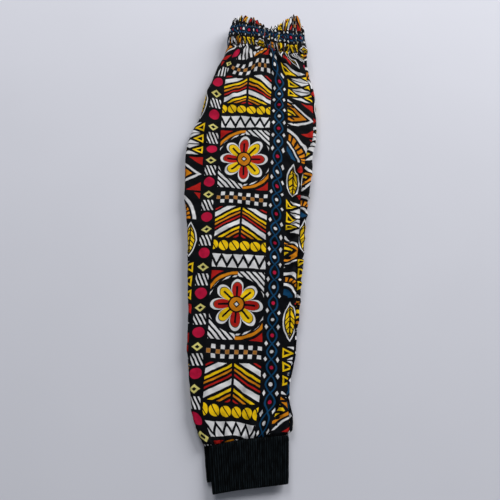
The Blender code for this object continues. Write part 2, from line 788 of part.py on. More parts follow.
def make_cuff(name, seat, shown):
    """Make one cuff: a flattened rib-knit tube, open at its hem."""
    bm = bmesh.new()
    rings = []
    for fraction in CUFF_ROWS:
        near = min(fraction, 1.0 - fraction)
        full = smooth_step(0.0, CUFF_END, near)
        inset = CUFF_DRAW_IN * (1.0 - full)
        lift = RIB_HEIGHT / MM * mix(0.2, 1.0, full)
        rings.append(cuff_ring(fraction, seat, inset, rib_profile(CUFF_RIBS, lift, shown)))
    plain = [(k / BAND_STEPS, 0.0) for k in range(BAND_STEPS + 1)]
    mouth = [cuff_ring(fraction, seat, CUFF_WALL / MM, plain) for fraction in (0.0, CUFF_MOUTH)]
    outer = [add_parts(bm, parts, True) for parts in rings]
    inner = [add_parts(bm, parts, True) for parts in mouth]
    loft(bm, outer)
    loft(bm, inner)
    cap(bm, chain(outer[0])[:-1], chain(inner[0])[:-1])
    cap(bm, chain(outer[-1])[:-1])
    cap(bm, chain(inner[-1])[:-1])
    return finish_object(name, bm, RIB_KNIT)


def main():
    """Clear the scene and build the garment, piece by piece."""
    for old in list(bpy.data.objects):
        bpy.data.objects.remove(old, do_unlink=True)
    rows = leg_rows()
    make_front_panel(rows)
    make_back_panel(rows)
    make_folded_layers(rows)
    make_waistband()
    make_folded_waistband()
    under_seat = CuffSeat(LEG_SECTIONS[UNDER_LEG_START], *UNDER_SHIFT, 0.0)
    upper_seat = CuffSeat(LEG_SECTIONS[0], 0.0, 0.0, (CUFF_TUBE + SEAM_GAP) / MM)
    make_cuff("cuff_under", under_seat, UNDER_SHOWN)
    make_cuff("cuff_upper", upper_seat, 1.0)


main()
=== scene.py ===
"""How a child's printed joggers look, folded in half lengthwise and laid flat.

X runs across the folded garment, from the crotch (-X) to the outer side (+X), Y from the
cuffs to the waist, and Z up from the surface it lies on. Tables and forms are worked out
in millimetres, with x from the garment's middle and y from the lowest point of its hem,
and turned into metres as each mesh is made.

Each leg is a flattened tube of a front and a back panel, one leg on the other. The
waistband is one gathered ring of doubled cloth, and each cuff is a doubled tube of rib
knit. Every cloth carries its flat cut as a UV map in metres, and the print and the weave
are drawn on that cut, so they follow the folds.
"""

import logging
import math
from dataclasses import dataclass
from enum import Enum
from typing import NamedTuple, Sequence

import bpy
import numpy as np
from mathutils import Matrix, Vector, noise


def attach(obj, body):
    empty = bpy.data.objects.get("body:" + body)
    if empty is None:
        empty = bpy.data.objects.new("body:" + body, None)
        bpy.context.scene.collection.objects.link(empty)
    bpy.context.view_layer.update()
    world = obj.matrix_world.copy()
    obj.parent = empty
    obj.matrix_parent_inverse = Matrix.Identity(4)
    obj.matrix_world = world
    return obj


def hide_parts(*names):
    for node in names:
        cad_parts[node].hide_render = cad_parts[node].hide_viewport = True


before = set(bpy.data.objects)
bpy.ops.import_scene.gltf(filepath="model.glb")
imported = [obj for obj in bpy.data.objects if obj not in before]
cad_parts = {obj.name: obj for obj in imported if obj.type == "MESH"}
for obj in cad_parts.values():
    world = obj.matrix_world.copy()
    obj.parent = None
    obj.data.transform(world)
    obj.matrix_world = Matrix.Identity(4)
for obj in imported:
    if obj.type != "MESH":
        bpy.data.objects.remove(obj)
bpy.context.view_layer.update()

Array = np.ndarray
Material = bpy.types.Material
Pair = tuple[float, float]
Piece = bpy.types.Object
Socket = bpy.types.NodeSocket
Tree = bpy.types.NodeTree

log = logging.getLogger("joggers")

MM = 0.001
BODY = "root"
CUT_MAP = "cut"  # the UV map that holds each cloth's flat cut, in metres

# ---- sizes (millimetres)
LENGTH = 688.8  # lowest point of the hem to the highest of the waist
SEAM_GAP = 0.3  # between two panels that are sewn together
LAYER_GAP = 0.35  # half the air between two folded layers
COTTON = 0.55  # thickness of the printed cotton with its ease
KNIT = 0.85  # thickness of one layer of the rib knit


class Section(NamedTuple):
    """One section across the legs: x from the middle, y from the hem."""
    left_x: float
    left_y: float
    right_x: float
    right_y: float
    strip: float  # width of back panel that shows beside the outseam
    height: float  # height of the folded stack

    @property
    def station(self) -> float:
        """Return how far its middle lies from the hem."""
        return (self.left_y + self.right_y) / 2.0


LEG_SECTIONS = (
    Section(-39.5, 53, 63.6, 70.6, 3.2, 10.3),  # ankle seam of the upper leg
    Section(-43.8, 59, 67.4, 76.8, 4.2, 10.4),
    Section(-47.5, 65.3, 68.4, 84.9, 4.6, 10.6),  # ankle seam of the under leg
    Section(-52.4, 76, 67.2, 92.5, 4, 10.8),
    Section(-57.7, 91, 64.7, 103, 3.6, 11),
    Section(-62, 119, 62.6, 119, 3.4, 11),
    Section(-64.6, 134, 63.6, 134, 3.4, 11),
    Section(-66.9, 150, 67.2, 150, 3.8, 11.2),
    Section(-69.9, 172, 70.8, 172, 3.4, 11.4),
    Section(-71.2, 197, 71.4, 197, 3.4, 11.6),
    Section(-72.4, 224, 73.3, 224, 4.4, 11.8),
    Section(-75.2, 253, 75.4, 253, 6.2, 12),
    Section(-78, 285, 77.5, 285, 8.6, 12),
    Section(-80.6, 313, 78.8, 313, 8.2, 12),
    Section(-84.2, 342, 81.2, 342, 9, 12),
    Section(-87.6, 364, 83, 364, 10.4, 12.2),
    Section(-90.7, 388, 84.3, 388, 11.2, 12.4),
    Section(-92.2, 410, 86.4, 410, 11.6, 12.6),
    Section(-93.6, 434, 89.2, 434, 11.4, 12.8),
    Section(-94, 451, 90, 455, 9.4, 13),  # crotch point
    Section(-93.2, 462, 92.6, 468, 6.4, 13.2),
    Section(-91.2, 475, 94, 482, 4.4, 13.5),
    Section(-84.6, 491, 94, 500, 4.2, 14),
    Section(-77, 509, 93.5, 519, 4.2, 14.5),
    Section(-73.3, 531, 92.2, 540, 4.4, 15),
    Section(-70, 552, 87.8, 560, 4.6, 15.8),
    Section(-63, 573, 83.6, 578, 4.8, 16.8),
    Section(-56.2, 594, 81.2, 594, 5, 17.8),
    Section(-49.8, 610, 79.3, 608, 5.2, 18.6),
    Section(-43.6, 630.5, 78, 619.8, 5.4, 19),  # waist seam
)
UNDER_LEG_START = 2  # the section where the under leg's ankle seam lies
UNDER_SHIFT = (-8.0, 12.0)  # how far the under leg's cuff lies from the upper one's
UNDER_RECESS = 1.2  # how far the under leg stays inside the outer edge
RECESS_SPAN = (80.0, 190.0)  # where the shift at the cuff turns into that recess
CROTCH_SPAN = (446.0, 474.0)  # where the two legs' edges join into one fold
ANKLE_BOW = 2.2  # how far the ankle seam bows towards the waist
ANKLE_SPAN = (60.0, 95.0)
WAIST_WAVE = 3.4  # how far the waist seam waves to and fro
WAIST_SPAN = (560.0, 620.0)
SOFT_EDGE = (12.0, 9.0)  # no large fold lies this near the left and the right edge
SEAT_SEAM_DEPTH = 14.0  # how far the seat seam lies inside the front fold
FINE_SPAN = 9.0  # how near the seams a leg's rows lie closer together


class Fold(NamedTuple):
    """One fold: a soft ridge, or a trough where rise is negative."""
    x: float
    y: float
    length: float
    width: float
    rise: float
    heading: float  # degrees clockwise from the waist direction
    bend: float = 0.0  # how far its ends curve away from its middle


LARGE_FOLDS = (
    Fold(-66, 484, 62, 11, 2.4, 42),  # drag line from the crotch
    Fold(-48, 468, 70, 13, -1.8, 50),
    Fold(-58, 520, 54, 12, 1.7, 24),
    Fold(72, 520, 70, 16, 2.1, -8),  # hip fold beside the outseam
    Fold(58, 470, 90, 15, -1.5, -10),
    Fold(14, 410, 150, 26, -1.4, 6),  # long soft hollow of the thigh
    Fold(-38, 330, 120, 24, 1.3, -6),
    Fold(30, 268, 130, 22, 1.3, 4),
    Fold(-20, 200, 110, 20, -1.1, -5),
    Fold(44, 158, 60, 13, 1.3, 8),
    Fold(15.5, 90, 46, 5.5, 2.7, -4),  # folds gathered into the cuff
    Fold(37, 88, 38, 5, 2.2, -6),
    Fold(-13, 82, 40, 6, 2.1, 6),
    Fold(-32, 84, 34, 6, 1.5, 12),
)
SMALL_FOLDS = (
    Fold(-74, 462, 40, 4.5, 1.8, 62, 3),  # short drags beside the crotch
    Fold(-70, 446, 44, 5, 1.5, 82, -3),
    Fold(-78, 474, 30, 4, -1.4, 50, 2),
    Fold(-52, 500, 46, 5, -1.5, 30, 2),
    Fold(30, 592, 72, 4.6, 2.6, -19, 2),  # drags that fan out from the waist's dip
    Fold(44, 603, 50, 4.6, 2.2, -44, 3),
    Fold(24, 598, 60, 4, -2, -6, 1.5),
    Fold(5, 594, 60, 4.8, 2, 17, -2),
    Fold(-14, 600, 46, 4.2, -1.5, 12, 2),
    Fold(-34, 592, 54, 5, 1.8, 20, -2),
    Fold(66, 590, 50, 4.4, 1.9, -22, -2),
    Fold(-30, 540, 64, 6, 1.9, 10, -3),  # long soft gathers of the hip
    Fold(-6, 550, 70, 7, -1.9, 2, 2),
    Fold(14, 538, 64, 6, 1.6, -5, 3),
    Fold(38, 546, 76, 6.5, 2.2, -12, -3),
    Fold(62, 552, 60, 5.5, -1.6, -16, 2),
    Fold(52, 506, 50, 6, 1.6, -30, 3),
    Fold(71, 424, 84, 5, 2.4, -5, 2),  # the long ridge beside the outseam
    Fold(66, 350, 92, 5, 2.6, 0, -2),
    Fold(60, 386, 110, 6, -1.8, 2, 2),
    Fold(63, 268, 70, 5, 1.9, 4, 2),
    Fold(60, 440, 56, 6, 1.6, -34, -3),  # slants running in from the outseam
    Fold(52, 404, 44, 5, -1.4, -42, 2),
    Fold(54, 372, 50, 5, 1.8, -30, 3),
    Fold(48, 338, 42, 4.5, -1.4, -46, -2),
    Fold(52, 306, 46, 5, 1.6, -36, 2),
    Fold(52, 258, 38, 4.5, 1.4, -52, -2),
    Fold(50, 222, 40, 5, -1.2, -30, 2),
    Fold(-60, 402, 46, 6, 1.2, 20, 3),  # faint creases down the crotch side
    Fold(-62, 356, 38, 5, -1.1, 34, -2),
    Fold(-54, 300, 50, 6, 1.2, 12, 3),
    Fold(-52, 246, 42, 5, -0.9, 28, 2),
    Fold(-46, 176, 46, 5.5, 1.4, 14, -3),
    Fold(-42, 134, 36, 5, 1.5, 20, 2),
    Fold(-8, 452, 70, 8, 1.2, 64, 4),  # faint cross creases
    Fold(-8, 372, 60, 7, 1.1, 70, 4),
    Fold(10, 318, 52, 6, -1.1, 80, -3),
    Fold(6, 236, 56, 7, 0.9, 104, 3),
    Fold(-2, 158, 44, 5, 1.1, 64, 3),
    Fold(28, 122, 50, 4.5, 1.8, -12, 2),  # ends of the ankle's gathers
    Fold(4, 108, 50, 4.5, -1.6, 4, -2),
    Fold(52, 104, 40, 4, 1.8, -14, 2),
    Fold(46, 98, 40, 3.6, -1.5, -8, 2),
    Fold(26, 92, 40, 3.8, -1.8, -2, 1),
    Fold(-24, 100, 42, 4, 1.6, 10, -2),
    Fold(-44, 98, 30, 4, 1.2, 22, 2),
)
CASING_FOLDS = (
    Fold(17, 646, 44, 7, -2.6, -4, 2),  # the dip at the waist's middle
    Fold(27, 646, 44, 6, 2, 22, 3),
    Fold(37, 650, 50, 6, -2.2, 30, 3),
    Fold(50, 656, 54, 7, 2.2, 14, -3),
    Fold(62, 650, 48, 5, -1.8, -4, 2),
    Fold(6, 646, 42, 6, 1.9, -24, -3),
    Fold(-10, 652, 46, 7, -1.8, -8, 2),
    Fold(-26, 654, 44, 7, 1.5, 6, -2),
)


class Pucker(NamedTuple):
    """One fold of the cloth bunched along the outseam."""
    station: float  # distance from the hem
    reach: float  # how far it runs in from the seam
    rise: float

    def beyond(self, number: int, along: Array, station: Array) -> Array:
        """Return how far each place lies beyond its middle line, whose slant its number sets."""
        return station - self.station - vary(number, *PUCKER_SLANT) * along


EDGE_PUCKERS = (
    Pucker(212, 9, 0.8), Pucker(233, 12, 1.3), Pucker(247, 10, 1.1),
    Pucker(262, 15, 1.8), Pucker(279, 12, 1.3), Pucker(291, 16, 2),
    Pucker(308, 11, 1.5), Pucker(321, 15, 1.8), Pucker(339, 13, 1.5),
    Pucker(352, 17, 2.1), Pucker(371, 13, 1.6), Pucker(386, 16, 1.9),
    Pucker(403, 12, 1.5), Pucker(419, 14, 1.6), Pucker(438, 11, 1.2),
    Pucker(466, 10, 0.9),
)
PUCKER_LENGTH = 3.6  # half length of such a pucker along the seam
PUCKER_STRETCH = (0.7, 1.2)  # the shortest and the longest, in shares of that
PUCKER_SLANT = (-0.35, 0.75)  # how steeply they run in from the seam
PUCKER_START = (-4.0, 3.0)  # how far from the seam they stand highest
PUCKER_HOLLOW = 0.5  # depth of the hollow beside one, in shares of its rise
PUCKER_HOLLOW_PLACE = 5.0
PUCKER_SWALLOW = 3.4  # cloth that a pucker of rise 1 takes out of sight
PUCKER_HALF = 4.0  # how near its middle it takes it
PUCKER_FADE = (4.0, 46.0)  # from where to where across the leg this loss runs out
PUCKER_EASED = 0.78  # share of the loss that the rest of the seam makes up for

GATHER_COUNT = 11  # soft gathers that run on from the waist seam
GATHER_RUN = (34.0, 84.0)
GATHER_RISE = (1.7, 3.4)
GATHER_WIDTH = (0.022, 0.036)  # share of the section's width
GATHER_SHIFT = 0.22
GATHER_TOP = 622.0
WAIST_PUCKERS = 17  # gathers across the front of the casing


class Pleats(NamedTuple):
    """A row of fine pleats sewn into a seam."""
    count: int
    start: float  # where the row starts in the run of gathers
    run: Pair  # length of the smallest and the largest
    rise: float
    level: float  # the share of a pleat that lies below the cloth's own form

    def lift(self, u: Array, inland: Array) -> Array:
        """Return the pleats' lift.

        Args:
            u: share of the width from the left edge.
            inland: distance from the seam.

        Returns:
            The lift at each place.
        """
        crest, size = pucker_shape(u * self.count + self.start, 0.0 * inland)
        fade = smooth_step(0.0, 1.0, 1.0 - inland / mix(*self.run, size))
        return self.rise * (crest - self.level) * (0.5 + size) * fade


WAIST_PLEATS = Pleats(WAIST_PUCKERS, 0.0, (18.0, 62.0), 2.8, 0.6)
ANKLE_PLEATS = Pleats(15, 40.0, (6.0, 26.0), 1.8, 0.5)

WAIST_EDGE = (  # the waistband's top edge: x, y
    (-41.2, 664.0), (-34.0, 678.0), (-25.0, 681.4), (-12.0, 681.6), (-1.0, 676.0),
    (9.0, 668.0), (18.5, 661.0), (27.0, 664.5), (37.0, 671.0), (48.0, 680.5),
    (58.5, 687.8), (66.0, 682.0), (72.0, 662.0),
)
BAND_LEFT = (-43.4, -44.6, -41.2)  # left edge at the seam, the middle and the top
BAND_RIGHT = (77.6, 74.8, 72.0)  # right edge at the same places
WAIST_HEIGHT = 20.0
BAND_DROP = 0.7  # how much lower the casing lies at its seam and its top
CASING_WALL = 2.6  # two cloths with the elastic between them

HEM_CORNERS = ((-26.0, 0.5), (63.9, 16.2))
CUFF_TOP = (-34.0, 63.2)  # x of both ends of the cuff's seam
HEM_BOW = 1.6  # how far the hem bows towards the waist
CUFF_TUBE = 5.0  # height of the flattened tube
CUFF_WALL = 1.15  # the doubled knit, its layers pressed together
CUFF_RIBS = 33  # ribs across one face
CUFF_ROUND = 192.0  # the knit's flat width, all round
RIB_CUT = CUFF_ROUND / (2 * CUFF_RIBS + 4)  # flat width of one rib, with two at each edge
RIB_HEIGHT = 0.55
TURN_STEPS = 5  # steps round a folded edge, from one face of the cloth to the other


# ---- arithmetic
def smooth_step(low: float, high: float, value: Array) -> Array:
    """Return 0 below low, 1 above high, and a smooth rise between them."""
    t = np.clip((value - low) / (high - low), 0.0, 1.0)
    return t * t * (3.0 - 2.0 * t)


def mix(a: Array, b: Array, t: Array) -> Array:
    """Return the value that lies t of the way from a to b."""
    return a + (b - a) * t


def vary(index: Array, low: float, high: float) -> Array:
    """Return an uneven but repeatable value between low and high for each index."""
    return mix(low, high, (index * 0.618034 + 0.37) % 1.0)


def bell(value: Array, width: float) -> Array:
    """Return 1 where value is 0, falling softly to nothing about a width away."""
    return np.exp(-((value / width) ** 2))


def grain(x: Array, y: Array, z: Array, size: float) -> Array:
    """Return soft noise from -1 to 1.

    Args:
        x, y, z: places in millimetres, arrays of one shape.
        size: how far apart the noise's bumps lie, in millimetres.

    Returns:
        An array of that shape.
    """
    flat = np.stack([np.broadcast_to(a, x.shape).ravel() for a in (x, y, z)], axis=1) / size
    return np.array([noise.noise(Vector(p)) for p in flat]).reshape(x.shape)


class Curve:
    """A smooth curve through a run of points, which never swings past them."""

    def __init__(self, places: Sequence[float], values: Sequence[float]) -> None:
        """Work out the curve's slopes.

        Args:
            places: rising places of the points.
            values: the curve's value at each.
        """
        self.places = np.asarray(places, float)
        self.values = np.asarray(values, float)
        rises = np.diff(self.values) / np.diff(self.places)
        product = rises[:-1] * rises[1:]
        total = np.where(product > 0.0, rises[:-1] + rises[1:], 1.0)
        inner = np.where(product > 0.0, 2.0 * product / total, 0.0)
        self.slopes = np.concatenate([rises[:1], inner, rises[-1:]])

    def __call__(self, where: Array) -> Array:
        """Return the curve's values.

        Args:
            where: places, held inside the curve's own ends.

        Returns:
            The value at each place.
        """
        at = np.clip(where, self.places[0], self.places[-1])
        i = np.clip(np.searchsorted(self.places, at, side="right") - 1, 0, len(self.places) - 2)
        span = self.places[i + 1] - self.places[i]
        t = (at - self.places[i]) / span
        rise = self.values[i + 1] - self.values[i]
        return (self.values[i] + rise * (3.0 * t**2 - 2.0 * t**3)
                + span * (self.slopes[i] * (t**3 - 2.0 * t**2 + t) + self.slopes[i + 1] * (t**3 - t**2)))


def fold_relief(folds: Sequence[Fold], x: Array, y: Array) -> Array:
    """Return how far a list of folds lifts the cloth.

    Args:
        folds: the folds.
        x, y: places on the garment.

    Returns:
        The lift at each place.
    """
    total = np.zeros(np.broadcast(x, y).shape)
    for fold in folds:
        angle = math.radians(fold.heading)
        along = (x - fold.x) * math.sin(angle) + (y - fold.y) * math.cos(angle)
        across = (x - fold.x) * math.cos(angle) - (y - fold.y) * math.sin(angle)
        share = 2.0 * along / fold.length
        across = across - fold.bend * share**2
        reach = np.maximum(0.0, 1.0 - share**2)
        total += fold.rise * reach**1.5 * np.exp(-2.0 * (across / fold.width) ** 2)
    return total


class Sway(NamedTuple):
    """How gathers lean to and fro."""
    amount: float
    beat: float  # from one gather to the next
    drift: float  # along the gathers
    start: float


SWAYS = (Sway(0.22, 0.9, 0.0, 0.7), Sway(0.15, 2.3, 2.2, 1.1), Sway(0.10, 1.7, 5.1, 0.0))
CREST_FLATNESS = 2.6  # the more, the flatter a gather's crest and the sharper its valleys
RIPPLE = 0.16  # unevenness of the crests


def pucker_shape(count: Array, drift: Array) -> tuple[Array, Array]:
    """Return the form of a run of gathers: round crests between sharp valleys.

    Args:
        count: how many gathers lie between the run's start and each place.
        drift: how far each place lies along the gathers, about 0 to 1.

    Returns:
        The crest, 0 in a valley and 1 on top, and each gather's own size from 0 to 1.
    """
    phase = count
    for sway in SWAYS:
        phase = phase + sway.amount * np.sin(sway.beat * count + sway.drift * drift + sway.start)
    crest = 1.0 - np.abs(2.0 * (phase % 1.0) - 1.0) ** CREST_FLATNESS
    crest = crest - RIPPLE * np.cos(2.0 * math.pi * (2.3 * phase + 0.7 * drift)) * crest
    middle = phase - 0.5
    index = np.floor(middle)
    size = mix(vary(index, 0.0, 1.0), vary(index + 1.0, 0.0, 1.0), smooth_step(0.0, 1.0, middle - index))
    return crest, size


def valley_cloth(crest: Array, size: Array) -> Array:
    """Return how much cloth gathers take in: most in a large one's valley, none on a crest."""
    return (1.0 - crest) * (0.4 + size)


# ---- making cloth meshes
class Path:
    """A path round a section of cloth, with the way that its outside faces."""

    def __init__(self) -> None:
        """Start an empty path."""
        self.parts: list[tuple[Array, ...]] = []

    def add(self, *arrays: Array) -> None:
        """Add one stretch, without its first column where it follows another.

        Args:
            arrays: x, z and the outside's direction in x and z, a row for each section.
        """
        shape = np.broadcast_shapes(*(a.shape for a in arrays))
        skip = 1 if self.parts else 0
        self.parts.append(tuple(np.broadcast_to(a, shape)[:, skip:] for a in arrays))

    def run(self, start: Array, end: Array, z: Array, facing: float,
            shares: Array) -> None:
        """Add a level stretch.

        Args:
            start, end: x where it starts and ends, one row for each section.
            z: its height.
            facing: 1 where the outside faces up, -1 where it faces down.
            shares: places along it, from 0 to 1.
        """
        x = mix(start, end, shares[None, :])
        self.add(x, z + 0.0 * x, 0.0 * x, facing + 0.0 * x)

    def arc(self, centre_x: Array, centre_z: Array, radius: Array,
            angles: Pair, steps: int, outward: float = 1.0) -> None:
        """Add a round stretch.

        Args:
            centre_x, centre_z, radius: its circle, one row for each section.
            angles: where it starts and ends, in degrees from +X.
            steps: how many steps it has.
            outward: 1 where the outside faces away from the centre, -1 where it faces it.
        """
        turn = np.radians(np.linspace(*angles, steps + 1))[None, :]
        cos, sin = np.cos(turn), np.sin(turn)
        self.add(centre_x + radius * cos, centre_z + radius * sin, outward * cos, outward * sin)

    def arrays(self) -> list[Array]:
        """Return x, z and the outside's direction in x and z, a row for each section."""
        return [np.hstack(column) for column in zip(*self.parts)]


def even(steps: int) -> Array:
    """Return even shares from 0 to 1."""
    return np.linspace(0.0, 1.0, steps + 1)


def run_length(points: Array, axis: int) -> Array:
    """Return the length of cloth from the start of each row or column to each point."""
    steps = np.linalg.norm(np.diff(points, axis=axis), axis=2)
    return np.insert(np.cumsum(steps, axis=axis), 0, 0.0, axis=axis)


def corners(columns: Array) -> Array:
    """Return the four corners of every cell between columns of numbered points."""
    here, ahead = columns[:, :-1], columns[:, 1:]
    return np.stack([here[:-1], ahead[:-1], ahead[1:], here[1:]], axis=-1).reshape(-1, 4)


def add_mesh(name: str, points: Array, faces: Sequence[Sequence[int]]) -> Piece:
    """Add a smooth mesh to the scene.

    Args:
        name: its name.
        points: its points in millimetres, with y from the hem.
        faces: the corners of each face.

    Returns:
        The new object, at the origin.
    """
    places = points * MM - np.array([0.0, LENGTH * MM / 2.0, 0.0])
    mesh = bpy.data.meshes.new(name)
    mesh.from_pydata(places.tolist(), [], faces)
    mesh.shade_smooth()
    piece = bpy.data.objects.new(name, mesh)
    bpy.context.collection.objects.link(piece)
    return piece


def apply_modifiers(piece: Piece) -> None:
    """Apply every modifier of a piece.

    Args:
        piece: the object.
    """
    bpy.ops.object.select_all(action='DESELECT')
    piece.select_set(True)
    bpy.context.view_layer.objects.active = piece
    for modifier in list(piece.modifiers):
        bpy.ops.object.modifier_apply(modifier=modifier.name)


class Skin(NamedTuple):
    """One face of a cloth."""
    points: Array  # rows, columns, xyz
    facing: Array  # which way its outside faces, the same shape


@dataclass
class ClothGrid:
    """A cloth as a grid of points in millimetres, with its flat cut."""
    skin: Skin
    cut: Array  # rows, columns, and two places on the flat cut
    joined: bool = False  # whether the last column meets the first one

    def build(self, name: str, thickness: float) -> Piece:
        """Make the cloth a closed thin shell.

        Args:
            name: the piece's name.
            thickness: the cloth's thickness in millimetres.

        Returns:
            The new object, at the origin.
        """
        rows, columns = self.skin.points.shape[:2]
        numbers = np.arange(rows * columns).reshape(rows, columns)
        quads = corners(np.hstack([numbers, numbers[:, :1]]) if self.joined else numbers)
        cut_quads = corners(np.arange(rows * self.cut.shape[1]).reshape(rows, -1))
        flat = self.skin.points.reshape(-1, 3)
        sides = flat[quads[:, 1]] - flat[quads[:, 0]], flat[quads[:, 3]] - flat[quads[:, 0]]
        if (np.cross(*sides) * self.skin.facing.reshape(-1, 3)[quads[:, 0]]).sum() < 0.0:
            quads, cut_quads = quads[:, ::-1], cut_quads[:, ::-1]
        piece = add_mesh(name, flat, quads.tolist())
        layer = piece.data.uv_layers.new(name=CUT_MAP)
        layer.data.foreach_set("uv", (self.cut.reshape(-1, 2) * MM)[cut_quads.ravel()].ravel())
        wall = piece.modifiers.new("thickness", 'SOLIDIFY')
        wall.thickness = thickness * MM
        wall.offset = -1.0
        apply_modifiers(piece)
        return piece


def double_over(outer: Skin, inner: Skin, reach: float) -> Skin:
    """Join a ring's outside to its inside, round the edge where the cloth is doubled.

    Args:
        outer: the outside, up to the edge.
        inner: the inside, from the edge on.
        reach: how far the edge stands out along Y.

    Returns:
        The whole ring, whose last column is its first one again.
    """
    over = []
    for turn in np.linspace(0.0, math.pi, TURN_STEPS + 1)[1:-1]:
        point = mix(outer.points[-1], inner.points[0], (1.0 - math.cos(turn)) / 2.0)
        over.append(point + np.array([0.0, math.sin(turn) * reach, 0.0]))
    points = np.concatenate([outer.points, np.stack(over), inner.points])
    points[:, -1] = points[:, 0]
    edge = np.repeat(outer.facing[-1:], len(over), axis=0)
    return Skin(points, np.concatenate([outer.facing, edge, -inner.facing]))


def ring_cloth(ring: Skin, across: Array) -> ClothGrid:
    """Make a ring one cloth, whose cut is as long as the cloth itself.

    Args:
        ring: the ring, whose last column is its first one again.
        across: where each column lies across the cut, in millimetres.

    Returns:
        The cloth.
    """
    along = run_length(ring.points, 0)
    cut = np.stack([np.broadcast_to(across, along.shape), along], axis=-1)
    return ClothGrid(Skin(ring.points[:, :-1], ring.facing[:, :-1]), cut, joined=True)


# ---- print and finishes
class Ink(Enum):
    """The print's colours, as linear red, green and blue."""
    NIGHT = (0.0021, 0.0026, 0.0040)
    WHITE = (0.660, 0.655, 0.665)
    YELLOW = (0.780, 0.500, 0.0040)
    ORANGE = (0.600, 0.200, 0.0055)
    RED = (0.400, 0.0110, 0.0080)
    MAGENTA = (0.430, 0.0060, 0.0400)
    BLUE = (0.0035, 0.0460, 0.1150)
    STRAW = (0.600, 0.540, 0.1700)
    OCHRE = (0.360, 0.150, 0.0250)


BLEED = 0.35  # soft edge of the ink, in millimetres
BLOCK_BLEED = 0.02  # a block's own edge is sharp, so that no ink shows under another
ANGLE_BLEED = 0.02  # soft edge of a mask made from an angle
NAP_ROUGHNESS = 0.45  # how widely the cloths' nap scatters light


class Field:
    """A number over the cloth, held as a socket, whose arithmetic adds Math nodes."""

    def __init__(self, tree: Tree, socket: Socket) -> None:
        """Hold a socket of a node tree."""
        self.tree = tree
        self.socket = socket

    def math(self, operation: str, *others: "Field | float", clamp: bool = False) -> "Field":
        """Join this number with others in one Math node.

        Args:
            operation: the node's operation.
            others: its other inputs.
            clamp: whether its result is held between 0 and 1.

        Returns:
            The node's result.
        """
        node = self.tree.nodes.new("ShaderNodeMath")
        node.operation = operation
        node.use_clamp = clamp
        for socket, value in zip(node.inputs, (self, *others)):
            if isinstance(value, Field):
                self.tree.links.new(value.socket, socket)
            else:
                socket.default_value = value
        return Field(self.tree, node.outputs[0])

    def __add__(self, other: "Field | float") -> "Field":
        """Add."""
        return self.math('ADD', other)

    def __sub__(self, other: "Field | float") -> "Field":
        """Take away."""
        return self.math('SUBTRACT', other)

    def __mul__(self, other: "Field | float") -> "Field":
        """Multiply; of two masks, keep what both cover."""
        return self.math('MULTIPLY', other)

    def __or__(self, other: "Field") -> "Field":
        """Of two masks, keep what either covers."""
        return self.math('MAXIMUM', other)

    def __abs__(self) -> "Field":
        """Drop the sign."""
        return self.math('ABSOLUTE')

    def wrap(self, period: float) -> "Field":
        """Start again from 0 after each period."""
        return self.math('WRAP', period, 0.0)

    def swing(self, reach: float) -> "Field":
        """Run to and fro between 0 and reach."""
        return self.math('PINGPONG', reach)

    def distance(self, other: "Field") -> "Field":
        """Return how far a place lies from 0, where this is its x and other its y."""
        return (self * self + other * other).math('SQRT')

    def below(self, limit: float, bleed: float = BLEED) -> "Field":
        """Return 1 below a limit and 0 above it, with a soft edge as wide as bleed."""
        return self.math('MULTIPLY_ADD', -1.0 / bleed, limit / bleed + 0.5, clamp=True)

    def above(self, limit: float, bleed: float = BLEED) -> "Field":
        """Return 1 above a limit and 0 below it, with a soft edge as wide as bleed."""
        return self.math('MULTIPLY_ADD', 1.0 / bleed, 0.5 - limit / bleed, clamp=True)

    def between(self, low: float, high: float) -> "Field":
        """Return 1 between two limits and 0 outside them, with soft edges."""
        return abs(self - (low + high) / 2.0).below((high - low) / 2.0)


def plain_colour(tree: Tree, colour: tuple[float, float, float]) -> Socket:
    """Add one plain colour to a node tree.

    Args:
        tree: the nodes.
        colour: its linear red, green and blue.

    Returns:
        The colour.
    """
    node = tree.nodes.new("ShaderNodeRGB")
    node.outputs[0].default_value = (*colour, 1.0)
    return node.outputs[0]


def split_place(tree: Tree, place: Socket, scale: float) -> tuple[Field, Field]:
    """Take a place apart.

    Args:
        tree: the nodes.
        place: the place.
        scale: what its x and y are multiplied by.

    Returns:
        Its x and y, scaled.
    """
    split = tree.nodes.new("ShaderNodeSeparateXYZ")
    tree.links.new(place, split.inputs[0])
    return Field(tree, split.outputs[0]) * scale, Field(tree, split.outputs[1]) * scale


class Block(NamedTuple):
    """One rectangle of the print's repeat, in millimetres."""
    left: float
    bottom: float
    width: float
    height: float


class Disc(NamedTuple):
    """An ink laid wherever a measure stays below a limit."""
    limit: float
    ink: Ink


class Band(NamedTuple):
    """An ink laid wherever a measure lies between two limits."""
    low: float
    high: float
    ink: Ink


